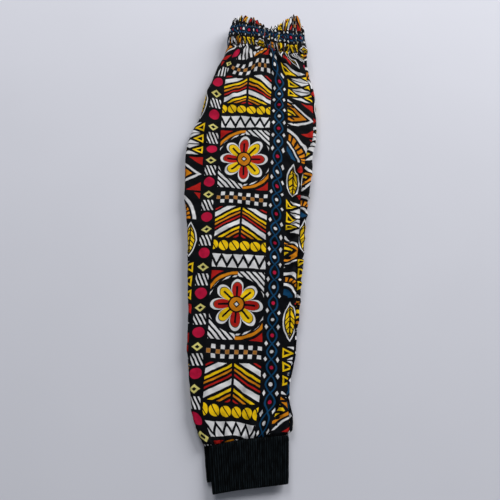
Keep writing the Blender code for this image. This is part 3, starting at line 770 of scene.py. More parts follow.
@dataclass
class PrintDesign:
    """A block-printed pattern on black, drawn in millimetres in one column of blocks beside another.

    Each column of repeats is dropped by half a repeat from the one beside it.
    """
    scale: float = 1.08  # millimetres of cloth for each millimetre of the drawing
    repeat_width: float = 150.0
    repeat_height: float = 196.0
    wanders: tuple[Pair, ...] = ((1.6, 42.0), (0.7, 9.0))  # how far outlines stray, and how often

    def group(self) -> Tree:
        """Draw the whole print as a node group.

        Returns:
            A group that takes a place on the cut in metres and gives the ink's colour.
        """
        self.tree = bpy.data.node_groups.new("block_print", 'ShaderNodeTree')
        self.tree.interface.new_socket(name="Place", in_out='INPUT', socket_type='NodeSocketVector')
        self.tree.interface.new_socket(name="Colour", in_out='OUTPUT', socket_type='NodeSocketColor')
        self.colour = plain_colour(self.tree, Ink.NIGHT.value)
        self.find_cell(self.tree.nodes.new("NodeGroupInput").outputs["Place"])
        for draw in (self.flower, self.teeth, self.seeds, self.chevrons, self.checks, self.braid,
                     self.leaves, self.fan, self.comb, self.hourglasses, self.edging):
            draw()
        out = self.tree.nodes.new("NodeGroupOutput")
        self.tree.links.new(self.colour, out.inputs["Colour"])
        return self.tree

    def find_cell(self, place: Socket) -> None:
        """Find each place's own x and y in its repeat, in millimetres.

        Args:
            place: the place on the cut, in metres.
        """
        x, y = split_place(self.tree, place, 1.0 / (MM * self.scale))
        for reach, size in self.wanders:
            drift = self.tree.nodes.new("ShaderNodeTexNoise")
            drift.inputs["Scale"].default_value = 1.0 / (size * MM)
            drift.inputs["Detail"].default_value = 1.0
            self.tree.links.new(place, drift.inputs["Vector"])
            parts = self.tree.nodes.new("ShaderNodeSeparateColor")
            self.tree.links.new(drift.outputs["Color"], parts.inputs[0])
            x = x + (Field(self.tree, parts.outputs[0]) - 0.5) * (2.0 * reach)
            y = y + (Field(self.tree, parts.outputs[1]) - 0.5) * (2.0 * reach)
        column = x.math('DIVIDE', self.repeat_width).math('FLOOR')
        self.x = x.wrap(self.repeat_width)
        self.y = (y + column * (self.repeat_height / 2.0)).wrap(self.repeat_height)

    def enter(self, block: Block) -> tuple[Field, Field]:
        """Draw from now on inside one block.

        Args:
            block: the block.

        Returns:
            x and y from its middle.
        """
        x = self.x - (block.left + block.width / 2.0)
        y = self.y - (block.bottom + block.height / 2.0)
        inside = abs(x).below(block.width / 2.0, BLOCK_BLEED)
        self.inside = inside * abs(y).below(block.height / 2.0, BLOCK_BLEED)
        return x, y

    def ink(self, where: Field, ink: Ink) -> None:
        """Lay an ink over what is there, inside the block.

        Args:
            where: the mask it covers.
            ink: its colour.
        """
        over = self.tree.nodes.new("ShaderNodeMix")
        over.data_type = 'RGBA'
        base, top = (socket for socket in over.inputs if socket.type == 'RGBA')
        self.tree.links.new((where * self.inside).socket, over.inputs["Factor"])
        self.tree.links.new(self.colour, base)
        top.default_value = (*ink.value, 1.0)
        self.colour = next(socket for socket in over.outputs if socket.type == 'RGBA')

    def discs(self, measure: Field, *discs: Disc, bleed: float = BLEED) -> None:
        """Lay inks one over another, each where a measure stays below its limit."""
        for disc in discs:
            self.ink(measure.below(disc.limit, bleed), disc.ink)

    def bands(self, where: Field, measure: Field, *bands: Band) -> None:
        """Lay inks inside a mask, each where a measure lies between its limits."""
        for band in bands:
            self.ink(where * measure.between(band.low, band.high), band.ink)

    def flower(self) -> None:
        """Draw a flower of eight veined petals, with two striped corners and two banded ones."""
        x, y = self.enter(Block(1.0, 1.0, 66.0, 84.0))
        petals, tip, bluntness, heart = 8, 17.0, 0.55, 10.2
        vein_width, vein_bleed, vein_end = 5.0, 1.4, 22.5
        corner_start, stripe_pitch, stripe, far = 35.0, 7.4, 4.1, 60.0
        radius, diamond = x.distance(y), abs(x) + abs(y)
        turn = y.math('ARCTAN2', x) * (petals / 2.0)
        lobe = turn.math('COSINE')
        petal = radius - abs(lobe).math('POWER', bluntness) * tip
        self.ink(petal.between(11.4, 15.0), Ink.WHITE)
        self.ink(petal.below(heart), Ink.YELLOW)
        self.ink(petal.below(heart) * lobe.above(0.0, ANGLE_BLEED), Ink.RED)
        vein = (abs(turn.math('SINE')) * radius).below(vein_width, vein_bleed)
        self.ink(vein * radius.below(vein_end), Ink.NIGHT)
        self.discs(radius, Disc(10.4, Ink.NIGHT), Disc(8.4, Ink.ORANGE))
        self.discs(diamond, Disc(4.4, Ink.NIGHT), Disc(2.4, Ink.WHITE))
        corner = radius.above(corner_start)
        self.ink(corner * diamond.wrap(stripe_pitch).below(stripe), Ink.WHITE)
        banded = (x.below(0.0) * y.above(0.0)) | (x.above(0.0) * y.below(0.0))
        self.bands(corner * banded, radius, Band(37.0, far, Ink.NIGHT), Band(38.4, 42.0, Ink.ORANGE),
                   Band(45.4, far, Ink.RED))

    def teeth(self) -> None:
        """Draw two rows of teeth that bite past each other."""
        x, y = self.enter(Block(1.0, 88.0, 66.0, 20.0))
        half_tooth, start, half_line, reach, edge = 6.6, 1.0, 3.3, 6.4, 8.4
        zigzag = (x + start).swing(half_tooth) * (2.0 * reach / half_tooth) - reach
        self.ink((y - zigzag).above(half_line) * y.below(edge), Ink.WHITE)
        self.ink((zigzag - y).above(half_line) * y.above(-edge), Ink.WHITE)

    def seeds(self) -> None:
        """Draw a row of round yellow seeds, each split by a slanted black line."""
        x, y = self.enter(Block(1.0, 110.5, 66.0, 14.0))
        pitch, radius, slant, half_line = 13.2, 6.1, 0.7, 0.8
        off = x.wrap(pitch) - pitch / 2.0
        beside_line = abs(off + y * slant).above(half_line)
        self.ink(off.distance(y).below(radius) * beside_line, Ink.YELLOW)

    def chevrons(self) -> None:
        """Draw nested chevrons, parted by a black spine."""
        x, y = self.enter(Block(1.0, 127.0, 66.0, 43.0))
        pitch, start, slope, half_spine = 27.0, 2.2, 0.58, 1.6
        rise = (y + start + abs(x) * slope).wrap(pitch)
        self.bands(abs(x).above(half_spine), rise, Band(1.0, 7.4, Ink.WHITE), Band(10.4, 12.6, Ink.RED),
                   Band(15.8, 18.2, Ink.ORANGE), Band(21.0, 24.2, Ink.YELLOW))

    def checks(self) -> None:
        """Draw three rows of checks, the middle one ochre."""
        x, y = self.enter(Block(1.0, 173.0, 66.0, 20.0))
        pitch, half_check, half_height, turn_bleed = 5.5, 2.45, 8.2, 0.1
        across = x.wrap(2.0 * pitch) - pitch
        up = (y + pitch / 2.0).wrap(2.0 * pitch) - pitch
        shown = (across * up).above(0.0, turn_bleed) * abs(y).below(half_height)
        for side in (across, up):
            shown = shown * abs(abs(side) - pitch / 2.0).below(half_check)
        self.ink(shown, Ink.WHITE)
        self.ink(shown * abs(y).below(pitch / 2.0), Ink.OCHRE)

    def braid(self) -> None:
        """Draw two blue strands that cross, with a bead in each loop and gems beside each crossing."""
        x, y = self.enter(Block(69.0, 0.0, 20.0, self.repeat_height))
        reach, half_strand, gem_place, gem_slope = 5.6, 1.1, 7.4, 1.5
        pitch = self.repeat_height / 5.0
        up = y + self.repeat_height / 2.0
        sway = abs((up * (2.0 * math.pi / pitch)).math('SINE')) * reach
        self.ink(abs(abs(x) - sway).below(half_strand), Ink.BLUE)
        for share, ink in ((0.25, Ink.MAGENTA), (0.75, Ink.WHITE)):
            self.discs(x.distance(up.wrap(pitch) - share * pitch), Disc(2.2, ink))
        crossing = abs((up + pitch / 4.0).wrap(pitch / 2.0) - pitch / 4.0)
        self.discs(crossing + abs(abs(x) - gem_place) * gem_slope, Disc(3.2, Ink.WHITE))

    def leaves(self) -> None:
        """Draw a pair of pointed leaves with veins, and red gems between their tips."""
        x, y = self.enter(Block(91.0, 2.0, 38.0, 50.0))
        apart, taper, blade, gem_place, gem_slope = 10.0, 0.015, 5.4, 20.5, 0.9
        vein_pitch, vein_slant, vein, half_midrib = 7.0, 1.3, 2.0, 0.9
        side = abs(abs(x) - apart)
        edge = side + y * y * taper
        self.discs(edge, Disc(8.8, Ink.WHITE), Disc(7.2, Ink.NIGHT), Disc(blade, Ink.YELLOW))
        slanted = (y + side * vein_slant).wrap(vein_pitch).below(vein)
        self.ink(edge.below(blade) * (slanted | side.below(half_midrib)), Ink.NIGHT)
        self.discs(abs(x) + abs(abs(y) - gem_place) * gem_slope, Disc(4.4, Ink.RED))

    def fan(self) -> None:
        """Draw a fan of arcs that opens from one corner, with a red corner across from it."""
        block = Block(91.0, 55.0, 38.0, 36.0)
        x, y = self.enter(block)
        spoke_pitch, spoke, far_corner = math.pi / 14.0, 0.13, 66.0
        across, up = x + block.width / 2.0, y + block.height / 2.0
        radius = across.distance(up)
        spokes = up.math('ARCTAN2', across).wrap(spoke_pitch).below(spoke, ANGLE_BLEED)
        self.bands(spokes, radius, Band(20.0, 28.0, Ink.ORANGE))
        self.ink(radius.between(31.0, 35.4) | radius.between(14.6, 17.2), Ink.WHITE)
        self.discs(radius, Disc(11.6, Ink.BLUE), Disc(5.6, Ink.NIGHT))
        self.ink((across + up).above(far_corner), Ink.RED)

    def comb(self) -> None:
        """Draw triangles inside one another, with a comb of black teeth along their foot."""
        block = Block(91.0, 94.0, 38.0, 48.0)
        x, y = self.enter(block)
        pitch, tooth, tooth_end, far_corners = 6.4, 2.8, -10.5, 1.50
        half_height = block.height / 2.0
        cone = abs(y) * (1.0 / half_height) + (x + block.width / 2.0) * (1.0 / block.width)
        bleed = BLEED / half_height
        self.discs(cone, Disc(0.97, Ink.WHITE), Disc(0.82, Ink.NIGHT), Disc(0.66, Ink.ORANGE),
                   Disc(0.44, Ink.NIGHT), Disc(0.28, Ink.YELLOW), bleed=bleed)
        self.ink((y + block.height).wrap(pitch).below(tooth) * x.below(tooth_end), Ink.NIGHT)
        self.ink(cone.above(far_corners, bleed), Ink.RED)

    def hourglasses(self) -> None:
        """Draw a stack of three white hourglasses, with hollow yellow wedges in their waists."""
        block = Block(91.0, 145.0, 38.0, 49.0)
        x, y = self.enter(block)
        half, bleed = block.height / 6.0, BLEED / 9.0
        flat = abs(x) * (2.0 / block.width)
        tall = abs((y + block.height / 2.0).wrap(2.0 * half) - half) * (1.0 / half)
        for more, less, start, end, ink in (
                (tall, flat, 0.24, 0.90, Ink.WHITE), (flat, tall, 0.18, 0.94, Ink.YELLOW),
                (flat, tall, 0.46, 0.84, Ink.NIGHT)):
            self.ink((more - less).above(start, bleed) * more.below(end, bleed), ink)

    def edging(self) -> None:
        """Draw a narrow edging of magenta ovals, slanted strokes and straw gems."""
        x, y = self.enter(Block(131.0, 0.0, 18.0, self.repeat_height))
        half_oval, half_oval_height, oval_place, oval_bleed = 7.2, 6.6, 8.5, 0.06
        pitch, stroke, slant, half_width, gem_place, gem_slope = 5.0, 2.3, 0.5, 7.6, 40.0, 0.75
        up = (y + self.repeat_height / 2.0).wrap(self.repeat_height / 4.0)
        oval = (x * (1.0 / half_oval)).distance((up - oval_place) * (1.0 / half_oval_height))
        self.discs(oval, Disc(1.0, Ink.MAGENTA), bleed=oval_bleed)
        strokes = (x + up * slant).wrap(pitch).below(stroke) * abs(x).below(half_width)
        self.bands(strokes, up, Band(18.0, 32.0, Ink.WHITE))
        self.discs(abs(up - gem_place) + abs(x) * gem_slope, Disc(5.2, Ink.STRAW), Disc(2.4, Ink.NIGHT))


class Mottle(NamedTuple):
    """Soft noise over a cloth."""
    size: float  # how far apart its bumps lie, in millimetres
    detail: float  # how many finer layers it has
    amount: float


class ClothShader:
    """A cloth's material while it is made: its nodes and its shader."""

    def __init__(self, name: str, roughness: float, sheen: float, specular: float) -> None:
        """Start a matte material with a soft nap.

        Args:
            name: its name.
            roughness: the fibres' roughness.
            sheen: how much the nap catches light from the side.
            specular: how much the fibres shine.
        """
        self.material = bpy.data.materials.new(name)
        self.material.use_nodes = True
        self.tree = self.material.node_tree
        self.shader = self.tree.nodes["Principled BSDF"]
        self.shader.inputs["Roughness"].default_value = roughness
        self.shader.inputs["Specular IOR Level"].default_value = specular
        self.shader.inputs["Sheen Weight"].default_value = sheen
        self.shader.inputs["Sheen Roughness"].default_value = NAP_ROUGHNESS

    def cut(self) -> Socket:
        """Read the cloth's flat cut.

        Returns:
            Each point's place on it, in metres.
        """
        cut = self.tree.nodes.new("ShaderNodeUVMap")
        cut.uv_map = CUT_MAP
        return cut.outputs[0]

    def object_place(self) -> Socket:
        """Return each point's own place, in metres."""
        return self.tree.nodes.new("ShaderNodeTexCoord").outputs["Object"]

    def mottle(self, place: Socket, mottle: Mottle) -> Field:
        """Make soft noise over a place.

        Args:
            place: the place, in metres.
            mottle: the noise.

        Returns:
            The noise, from 0 to its amount.
        """
        node = self.tree.nodes.new("ShaderNodeTexNoise")
        node.inputs["Scale"].default_value = 1.0 / (mottle.size * MM)
        node.inputs["Detail"].default_value = mottle.detail
        self.tree.links.new(place, node.inputs["Vector"])
        return Field(self.tree, node.outputs["Fac"]) * mottle.amount

    def emboss(self, height: Field, depth: float) -> None:
        """Give the shader a fine relief.

        Args:
            height: the relief.
            depth: how high 1 is, in millimetres.
        """
        bump = self.tree.nodes.new("ShaderNodeBump")
        bump.inputs["Distance"].default_value = depth * MM
        self.tree.links.new(height.socket, bump.inputs["Height"])
        self.tree.links.new(bump.outputs[0], self.shader.inputs["Normal"])

    def tint(self, colour: Socket, amount: Field) -> None:
        """Lighten or darken a colour and give it to the shader.

        Args:
            colour: the colour.
            amount: what it is multiplied by.
        """
        scale = self.tree.nodes.new("ShaderNodeVectorMath")
        scale.operation = 'SCALE'
        self.tree.links.new(colour, scale.inputs[0])
        self.tree.links.new(amount.socket, scale.inputs["Scale"])
        self.tree.links.new(scale.outputs[0], self.shader.inputs["Base Color"])


class Layout(Enum):
    """Which way a piece is cut from the printed cloth."""
    ALONG = 0.0  # the print's height runs up the leg
    ACROSS = math.pi / 2.0  # a strip cut across the cloth


@dataclass(frozen=True)
class PrintedCotton:
    """One piece's printed cotton: its place on the print's repeat, and its weave."""
    name: str
    start: Pair  # where the cut's zero lies on the print, in millimetres
    layout: Layout = Layout.ALONG
    roughness: float = 0.8
    sheen: float = 0.02
    specular: float = 0.06
    thread: float = 0.42  # width of a thread of the weave, in millimetres
    thread_shade: float = 0.035  # how much the threads lighten or darken the colour
    thread_height: float = 0.45
    least_colour: float = 0.81  # the colour's share where the cloth is darkest
    fading: Mottle = Mottle(26.0, 3.0, 0.34)
    crumple: Mottle = Mottle(11.0, 2.0, 11.0)
    slub: Mottle = Mottle(1.6, 1.0, 0.6)
    depth: float = 0.10  # how high the relief's 1 is, in millimetres

    def material(self, design: Tree) -> Material:
        """Make the finish.

        Args:
            design: the print's node group.

        Returns:
            The material.
        """
        cloth = ClothShader(self.name, self.roughness, self.sheen, self.specular)
        cut = cloth.cut()
        laid = cloth.tree.nodes.new("ShaderNodeMapping")
        laid.inputs["Location"].default_value = (self.start[0] * MM, self.start[1] * MM, 0.0)
        laid.inputs["Rotation"].default_value = (0.0, 0.0, self.layout.value)
        cloth.tree.links.new(cut, laid.inputs["Vector"])
        pattern = cloth.tree.nodes.new("ShaderNodeGroup")
        pattern.node_tree = design
        cloth.tree.links.new(laid.outputs[0], pattern.inputs["Place"])
        x, y = split_place(cloth.tree, cut, math.pi / (self.thread * MM))
        weave = x.math('SINE') * y.math('SINE')
        fade = cloth.mottle(cut, self.fading) + self.least_colour + weave * self.thread_shade
        cloth.tint(pattern.outputs["Colour"], fade)
        rough = cloth.mottle(cut, self.crumple) + cloth.mottle(cut, self.slub)
        cloth.emboss(weave * self.thread_height + rough, self.depth)
        return cloth.material


@dataclass(frozen=True)
class RibKnit:
    """Black rib knit: columns of small V stitches, with painted shade between the ribs, painted
    highlight on their tops and streaks of painted highlight along them.
    """
    name: str = "black_rib_knit"
    colour: tuple[float, float, float] = (0.0024, 0.0037, 0.0047)
    roughness: float = 0.9
    sheen: float = 0.02
    specular: float = 0.03
    wale: float = 0.95  # width of a column of stitches, in millimetres
    course: float = 0.80  # height of a stitch
    slant: float = 1.1  # how steeply a stitch's two sides rise
    fuzz: Mottle = Mottle(7.0, 4.0, 0.8)
    stitch_shade: float = 0.7
    crest: Pair = (0.22, 0.82)  # where a rib's top starts and ends
    crest_bleed: float = 0.16
    painted_rib_shading: Pair = (0.1, 2.4)  # painted shade between the ribs, and how much more on their tops as painted highlight
    # streaks of painted highlight along the ribs, drawn as soft noise
    highlight_streak: Mottle = Mottle(3.0, 1.0, 1.0)
    highlight_length: float = 12.0  # of a streak of painted highlight, along a rib
    highlight_level: float = 0.52
    highlight_bleed: float = 0.30
    highlight_shade: Pair = (0.4, 1.5)  # elsewhere, and how much more in a streak of painted highlight
    least_shade: float = 0.05
    depth: float = 0.3  # how high the relief's 1 is, in millimetres

    def material(self) -> Material:
        """Make the finish.

        Returns:
            The material.
        """
        cloth = ClothShader(self.name, self.roughness, self.sheen, self.specular)
        cut = cloth.cut()
        x, y = split_place(cloth.tree, cut, 1.0 / MM)
        side = abs(x.wrap(self.wale) - self.wale / 2.0)
        rise = (y - side * self.slant).wrap(self.course).swing(self.course / 2.0) * (2.0 / self.course)
        stitch = rise * side.below(self.wale * 0.42, self.wale * 0.2)
        rib = x.wrap(RIB_CUT) * (1.0 / RIB_CUT)
        # the ribs' tops: the knit is painted lighter on them and painted darker between them, where
        # shade falls
        crest = rib.above(self.crest[0], self.crest_bleed) * rib.below(self.crest[1], self.crest_bleed)
        drawn = cloth.tree.nodes.new("ShaderNodeMapping")
        drawn.inputs["Scale"].default_value = (1.0, self.highlight_streak.size / self.highlight_length, 1.0)
        cloth.tree.links.new(cut, drawn.inputs["Vector"])
        highlight_streak = cloth.mottle(drawn.outputs[0], self.highlight_streak).above(self.highlight_level, self.highlight_bleed)
        fuzz = cloth.mottle(cut, self.fuzz)
        shade = stitch * self.stitch_shade + fuzz
        # painted shade between the ribs, and painted highlight on their tops and in streaks along them
        for mask, (least, more) in ((crest, self.painted_rib_shading), (highlight_streak, self.highlight_shade)):
            shade = shade * (mask * more + least)
        cloth.tint(plain_colour(cloth.tree, self.colour), shade + self.least_shade)
        cloth.emboss(stitch + fuzz, self.depth)
        return cloth.material


@dataclass(frozen=True)
class SewingThread:
    """Spun thread with a slight twist."""
    name: str = "black_thread"
    colour: tuple[float, float, float] = (0.012, 0.013, 0.016)
    roughness: float = 0.6
    sheen: float = 0.3
    specular: float = 0.06
    twist: Mottle = Mottle(0.5, 1.0, 0.8)
    least_shade: float = 0.6
    depth: float = 0.1  # how high the relief's 1 is, in millimetres

    def material(self) -> Material:
        """Make the finish.

        Returns:
            The material.
        """
        thread = ClothShader(self.name, self.roughness, self.sheen, self.specular)
        twist = thread.mottle(thread.object_place(), self.twist)
        thread.tint(plain_colour(thread.tree, self.colour), twist + self.least_shade)
        thread.emboss(twist, self.depth)
        return thread.material


@dataclass(frozen=True)
class PaleSheet:
    """The plain pale floor."""
    name: str = "pale_floor"
    colour: tuple[float, float, float] = (0.660, 0.665, 0.725)
    roughness: float = 0.7
    specular: float = 0.06
    clouds: Mottle = Mottle(160.0, 2.0, 0.05)
    least_shade: float = 0.975

    def material(self) -> Material:
        """Make the finish.

        Returns:
            The material.
        """
        sheet = ClothShader(self.name, self.roughness, 0.0, self.specular)
        shade = sheet.mottle(sheet.object_place(), self.clouds) + self.least_shade
        sheet.tint(plain_colour(sheet.tree, self.colour), shade)
        return sheet.material


# ---- legs
class LegRows:
    """The legs' sections at a run of stations, each value a column for its own row."""

    def __init__(self, stations: Array) -> None:
        """Read the sections.

        Args:
            stations: how far each row lies from the hem, at its middle.
        """
        known = [s.station for s in LEG_SECTIONS]
        self.station = stations[:, None]
        self.left_x, self.left_y, self.right_x, self.right_y, self.strip, self.height = (
            Curve(known, [getattr(s, name) for s in LEG_SECTIONS])(stations)[:, None]
            for name in Section._fields)
        self.crotch = smooth_step(*CROTCH_SPAN, self.left_y)
        self.quarter = self.height / 4.0
        self.half = self.height / 2.0

    def across(self, x: Array) -> Array:
        """Return how far x lies from the left edge, as a share of the width."""
        return (x - self.left_x) / (self.right_x - self.left_x)

    def y_on(self, x: Array) -> Array:
        """Return y where each section crosses x.

        Args:
            x: places across, a row for each section.

        Returns:
            y at each place.
        """
        u = self.across(x)
        ankle = ANKLE_BOW * np.sin(math.pi * u) * (1.0 - smooth_step(*ANKLE_SPAN, self.station))
        waist = WAIST_WAVE * np.sin(2.0 * math.pi * u) * smooth_step(*WAIST_SPAN, self.station)
        return mix(self.left_y, self.right_y, u) + ankle + waist

    def outseam(self) -> Array:
        """Return x where the outseam crosses each section."""
        return self.right_x - self.strip

    def left_radius(self) -> Array:
        """Return the radius of the rounded edge on the crotch side."""
        return self.height * mix(0.25, 0.5, self.crotch)

    def tip_radius(self, full: Array) -> Array:
        """Return the radius of a hidden panel's end, full where the legs lie apart."""
        return full * (1.0 - self.crotch) * 0.98 + 0.05

    def hidden_end(self, radius: Array) -> Array:
        """Return x where a hidden panel's rounded end starts."""
        return self.left_x + radius + SEAT_SEAM_DEPTH * self.crotch

    def under_right(self) -> Array:
        """Return the under leg's outer edge, which lies a little further in."""
        inland = smooth_step(*RECESS_SPAN, self.station)
        return self.right_x - mix(-UNDER_SHIFT[0], UNDER_RECESS, inland)


def leg_stations(first: int, pitch: float, fine: float) -> Array:
    """Return stations from an ankle seam to the waist seam, closer together at both ends.

    Args:
        first: the section where the leg starts.
        pitch: the usual step.
        fine: the step beside the seams.

    Returns:
        The stations.
    """
    low, high = LEG_SECTIONS[first].station, LEG_SECTIONS[-1].station
    start = np.arange(low, low + FINE_SPAN, fine)
    steps = round((high - low - 2.0 * FINE_SPAN) / pitch)
    middle = np.linspace(low + FINE_SPAN, high - FINE_SPAN, steps + 1)
    end = np.arange(high, high - FINE_SPAN + fine / 2.0, -fine)[::-1]
    return np.concatenate([start, middle, end])


class Rough(NamedTuple):
    """Soft unevenness of worn cloth."""
    rise: float
    size: float  # how far apart its bumps lie


def unevenness(layers: Sequence[Rough], x: Array, y: Array, z: Array) -> Array:
    """Return how far a cloth's layers of unevenness lift it at each place."""
    return sum(layer.rise * grain(x, y, z, layer.size) for layer in layers)


@dataclass
class LegPair:
    """Both legs: four panels on one form, and the relief that their cloth carries."""
    pitch: float = 1.42
    fine: float = 0.9
    hidden_pitch: float = 3.2
    top_steps: int = 84
    seam_steps: int = 7
    strip_steps: int = 6  # across the strip of back panel that shows
    fold_steps: int = 9  # round the edge on the crotch side
    roll_steps: int = 12  # round the outer edge
    hidden_steps: int = 10  # across a hidden panel
    tip_steps: int = 5  # round a hidden panel's end
    floor_steps: int = 12  # across the panel on the floor
    under_anchors: tuple[int, int] = (8, 12)  # the under leg's columns along the grain
    seam_margin: float = 6.0  # how near the outseam the columns lie closer together
    strip_end: Pair = (12.0, 26.0)  # where the strip's relief fades, out of sight
    groove: float = 1.5  # depth of a seam's valley
    groove_width: float = 2.0
    tuck: float = 1.5  # how far the cloth dips into the waist and ankle seams
    tuck_length: float = 5.0
    edge_share: float = 0.35  # how much of a small fold stays at the edges
    crumple: tuple[Rough, ...] = (Rough(1.3, 19.0), Rough(0.65, 7.0))
    under_crumple: tuple[Rough, ...] = (Rough(1.1, 15.0), Rough(0.5, 6.0))
    under_sink: float = 0.5
    under_edge: Pair = (6.0, 14.0)  # how far in from its edges that reaches
    crease: float = 0.9  # how high the faint creases of worn cotton stand
    crease_edge: float = 3.4  # how fast a crease falls away to its sides
    crease_size: float = 30.0
    crease_shares: Pair = (0.4, 2.0)  # its least height, and how much it varies
    crease_patch: float = 38.0  # over what distance it varies
    waist_fullness: Pair = (0.15, 1.5)  # all along the seam, and more in its valleys
    waist_full_span: float = 75.0
    ankle_fullness: float = 0.30
    ankle_full_span: float = 40.0
    stray: float = 15.0  # how far the grain strays where the cloth is drawn in
    stray_size: float = 44.0
    stray_shares: tuple[float, float, float] = (0.25, 0.75, 0.35)  # all over, waist and ankle
    stray_waist_span: Pair = (150.0, 10.0)
    stray_ankle_span: float = 60.0

    @staticmethod
    def end_stations() -> Pair:
        """Return the stations of the ankle seam and the waist seam."""
        return LEG_SECTIONS[0].station, LEG_SECTIONS[-1].station

    def gathers(self, u: Array, station: Array) -> Array:
        """Return the lift of the soft gathers and the fine pleats under the casing.

        Args:
            u: share of the width from the left edge.
            station: distance from the hem.

        Returns:
            The lift at each place.
        """
        total = np.zeros(np.broadcast(u, station).shape)
        for k in range(GATHER_COUNT):
            centre = (k + 0.5 + vary(k, -GATHER_SHIFT, GATHER_SHIFT)) / GATHER_COUNT
            run = vary(k + 5, *GATHER_RUN)
            fade = smooth_step(GATHER_TOP - run, GATHER_TOP, station)
            total += vary(k + 9, *GATHER_RISE) * fade * bell(u - centre, vary(k + 2, *GATHER_WIDTH))
        return total + WAIST_PLEATS.lift(u, self.end_stations()[1] - station)

    def outseam_puckers(self, along: Array, station: Array) -> Array:
        """Return the lift of the cloth bunched along the outseam.

        Args:
            along: distance from the outseam, along the cloth.
            station: distance from the hem.

        Returns:
            The lift at each place.
        """
        total = np.zeros(np.broadcast(along, station).shape)
        for k, pucker in enumerate(EDGE_PUCKERS):
            off = pucker.beyond(k, along, station) / vary(k + 3, *PUCKER_STRETCH)
            hollow = PUCKER_HOLLOW * bell(off - PUCKER_HOLLOW_PLACE, PUCKER_LENGTH * 0.8)
            wave = bell(off, PUCKER_LENGTH) - hollow
            total += pucker.rise * wave * bell(along - vary(k + 6, *PUCKER_START), pucker.reach)
        return total

    def relief(self, rows: LegRows, x: Array, z: Array, along: Array) -> Array:
        """Return how far the upper leg's cloth stands off its plain form.

        Args:
            rows: the sections.
            x, z: places on the plain form.
            along: distance from the outseam, along the cloth.

        Returns:
            The lift at each place.
        """
        y = rows.y_on(x)
        u = rows.across(x)
        low, high = self.end_stations()
        inner = smooth_step(0.0, SOFT_EDGE[0], x - rows.left_x - rows.left_radius())
        outer = smooth_step(0.0, SOFT_EDGE[1], rows.right_x - x - rows.quarter)
        top = smooth_step(0.8, 1.0, z / rows.height)
        large = fold_relief(LARGE_FOLDS, x, y) + self.gathers(u, rows.station)
        small = fold_relief(SMALL_FOLDS, x, y) + ANKLE_PLEATS.lift(u, rows.station - low)
        small = small * (self.edge_share + (1.0 - self.edge_share) * inner * outer)
        line = 1.0 - self.crease_edge * np.abs(grain(x, 0.5 * y, z, self.crease_size))
        least, more = self.crease_shares
        crease = self.crease * (least + more * np.abs(grain(y, x, z, self.crease_patch)))
        rough = unevenness(self.crumple, x, y, z) + crease * np.clip(line, 0.0, 1.0)**2
        lift = (large * inner * outer + small) * top
        lift = lift + rough + self.outseam_puckers(along, rows.station)
        lift = lift - self.groove * bell(along, self.groove_width)
        near = np.minimum(rows.station - low, high - rows.station)
        return lift - self.tuck * (1.0 - smooth_step(0.0, self.tuck_length, near)) ** 1.5

    def fullness(self, rows: LegRows, u: Array) -> Array:
        """Return how much cloth is gathered in across each place.

        Args:
            rows: the sections.
            u: share of the width from the left edge.

        Returns:
            1 where the cloth lies flat, and more where it is gathered.
        """
        low, high = self.end_stations()
        waist = smooth_step(high - self.waist_full_span, high, rows.station) ** 1.5
        ankle = 1.0 - smooth_step(low, low + self.ankle_full_span, rows.station)
        least, more = self.waist_fullness
        taken = least + more * valley_cloth(*pucker_shape(u * WAIST_PUCKERS, 0.0 * rows.station))
        return 1.0 + waist * taken + self.ankle_fullness * ankle

    def swallowed(self, rows: LegRows, along: Array) -> Array:
        """Return how much of the cut the outseam's puckers hide.

        Args:
            rows: the sections.
            along: distance from the outseam, along the cloth.

        Returns:
            The cloth hidden between the ankle seam and each point, less what is eased in evenly.
        """
        near = 1.0 - smooth_step(*PUCKER_FADE, np.abs(along))
        total = np.zeros(np.broadcast(along, rows.station).shape)
        for k, pucker in enumerate(EDGE_PUCKERS):
            off = pucker.beyond(k, along, rows.station)
            total += PUCKER_SWALLOW * pucker.rise * smooth_step(-PUCKER_HALF, PUCKER_HALF, off)
        taken = PUCKER_SWALLOW * sum(pucker.rise for pucker in EDGE_PUCKERS)
        first, last = EDGE_PUCKERS[0].station, EDGE_PUCKERS[-1].station
        eased = np.clip((rows.station - first) / (last - first), 0.0, 1.0)
        return (total - PUCKER_EASED * taken * eased) * near

    def strayed(self, rows: LegRows, x: Array) -> Array:
        """Return how far the grain strays along the leg, most of all near its gathered ends.

        Args:
            rows: the sections.
            x: places across.

        Returns:
            The distance at each place.
        """
        low, high = self.end_stations()
        far, near = self.stray_waist_span
        least, waist, ankle = self.stray_shares
        drawn = least + waist * smooth_step(high - far, high - near, rows.station)
        drawn = drawn + ankle * (1.0 - smooth_step(low, low + self.stray_ankle_span, rows.station))
        return self.stray * drawn * grain(x, 0.6 * rows.y_on(x), 7.0 + 0.0 * x, self.stray_size)

    def lay(self, rows: LegRows, path: Path, lift: Array) -> Skin:
        """Lay a cloth along a path, lifted off it.

        Args:
            rows: the sections.
            path: the path round them.
            lift: how far each point stands off it.

        Returns:
            The points and the way they face.
        """
        x, z, out_x, out_z = path.arrays()
        points = np.stack([x + out_x * lift, rows.y_on(x), np.maximum(z + out_z * lift, 0.0)], axis=-1)
        return Skin(points, np.stack([out_x, 0.0 * x, out_z], axis=-1))

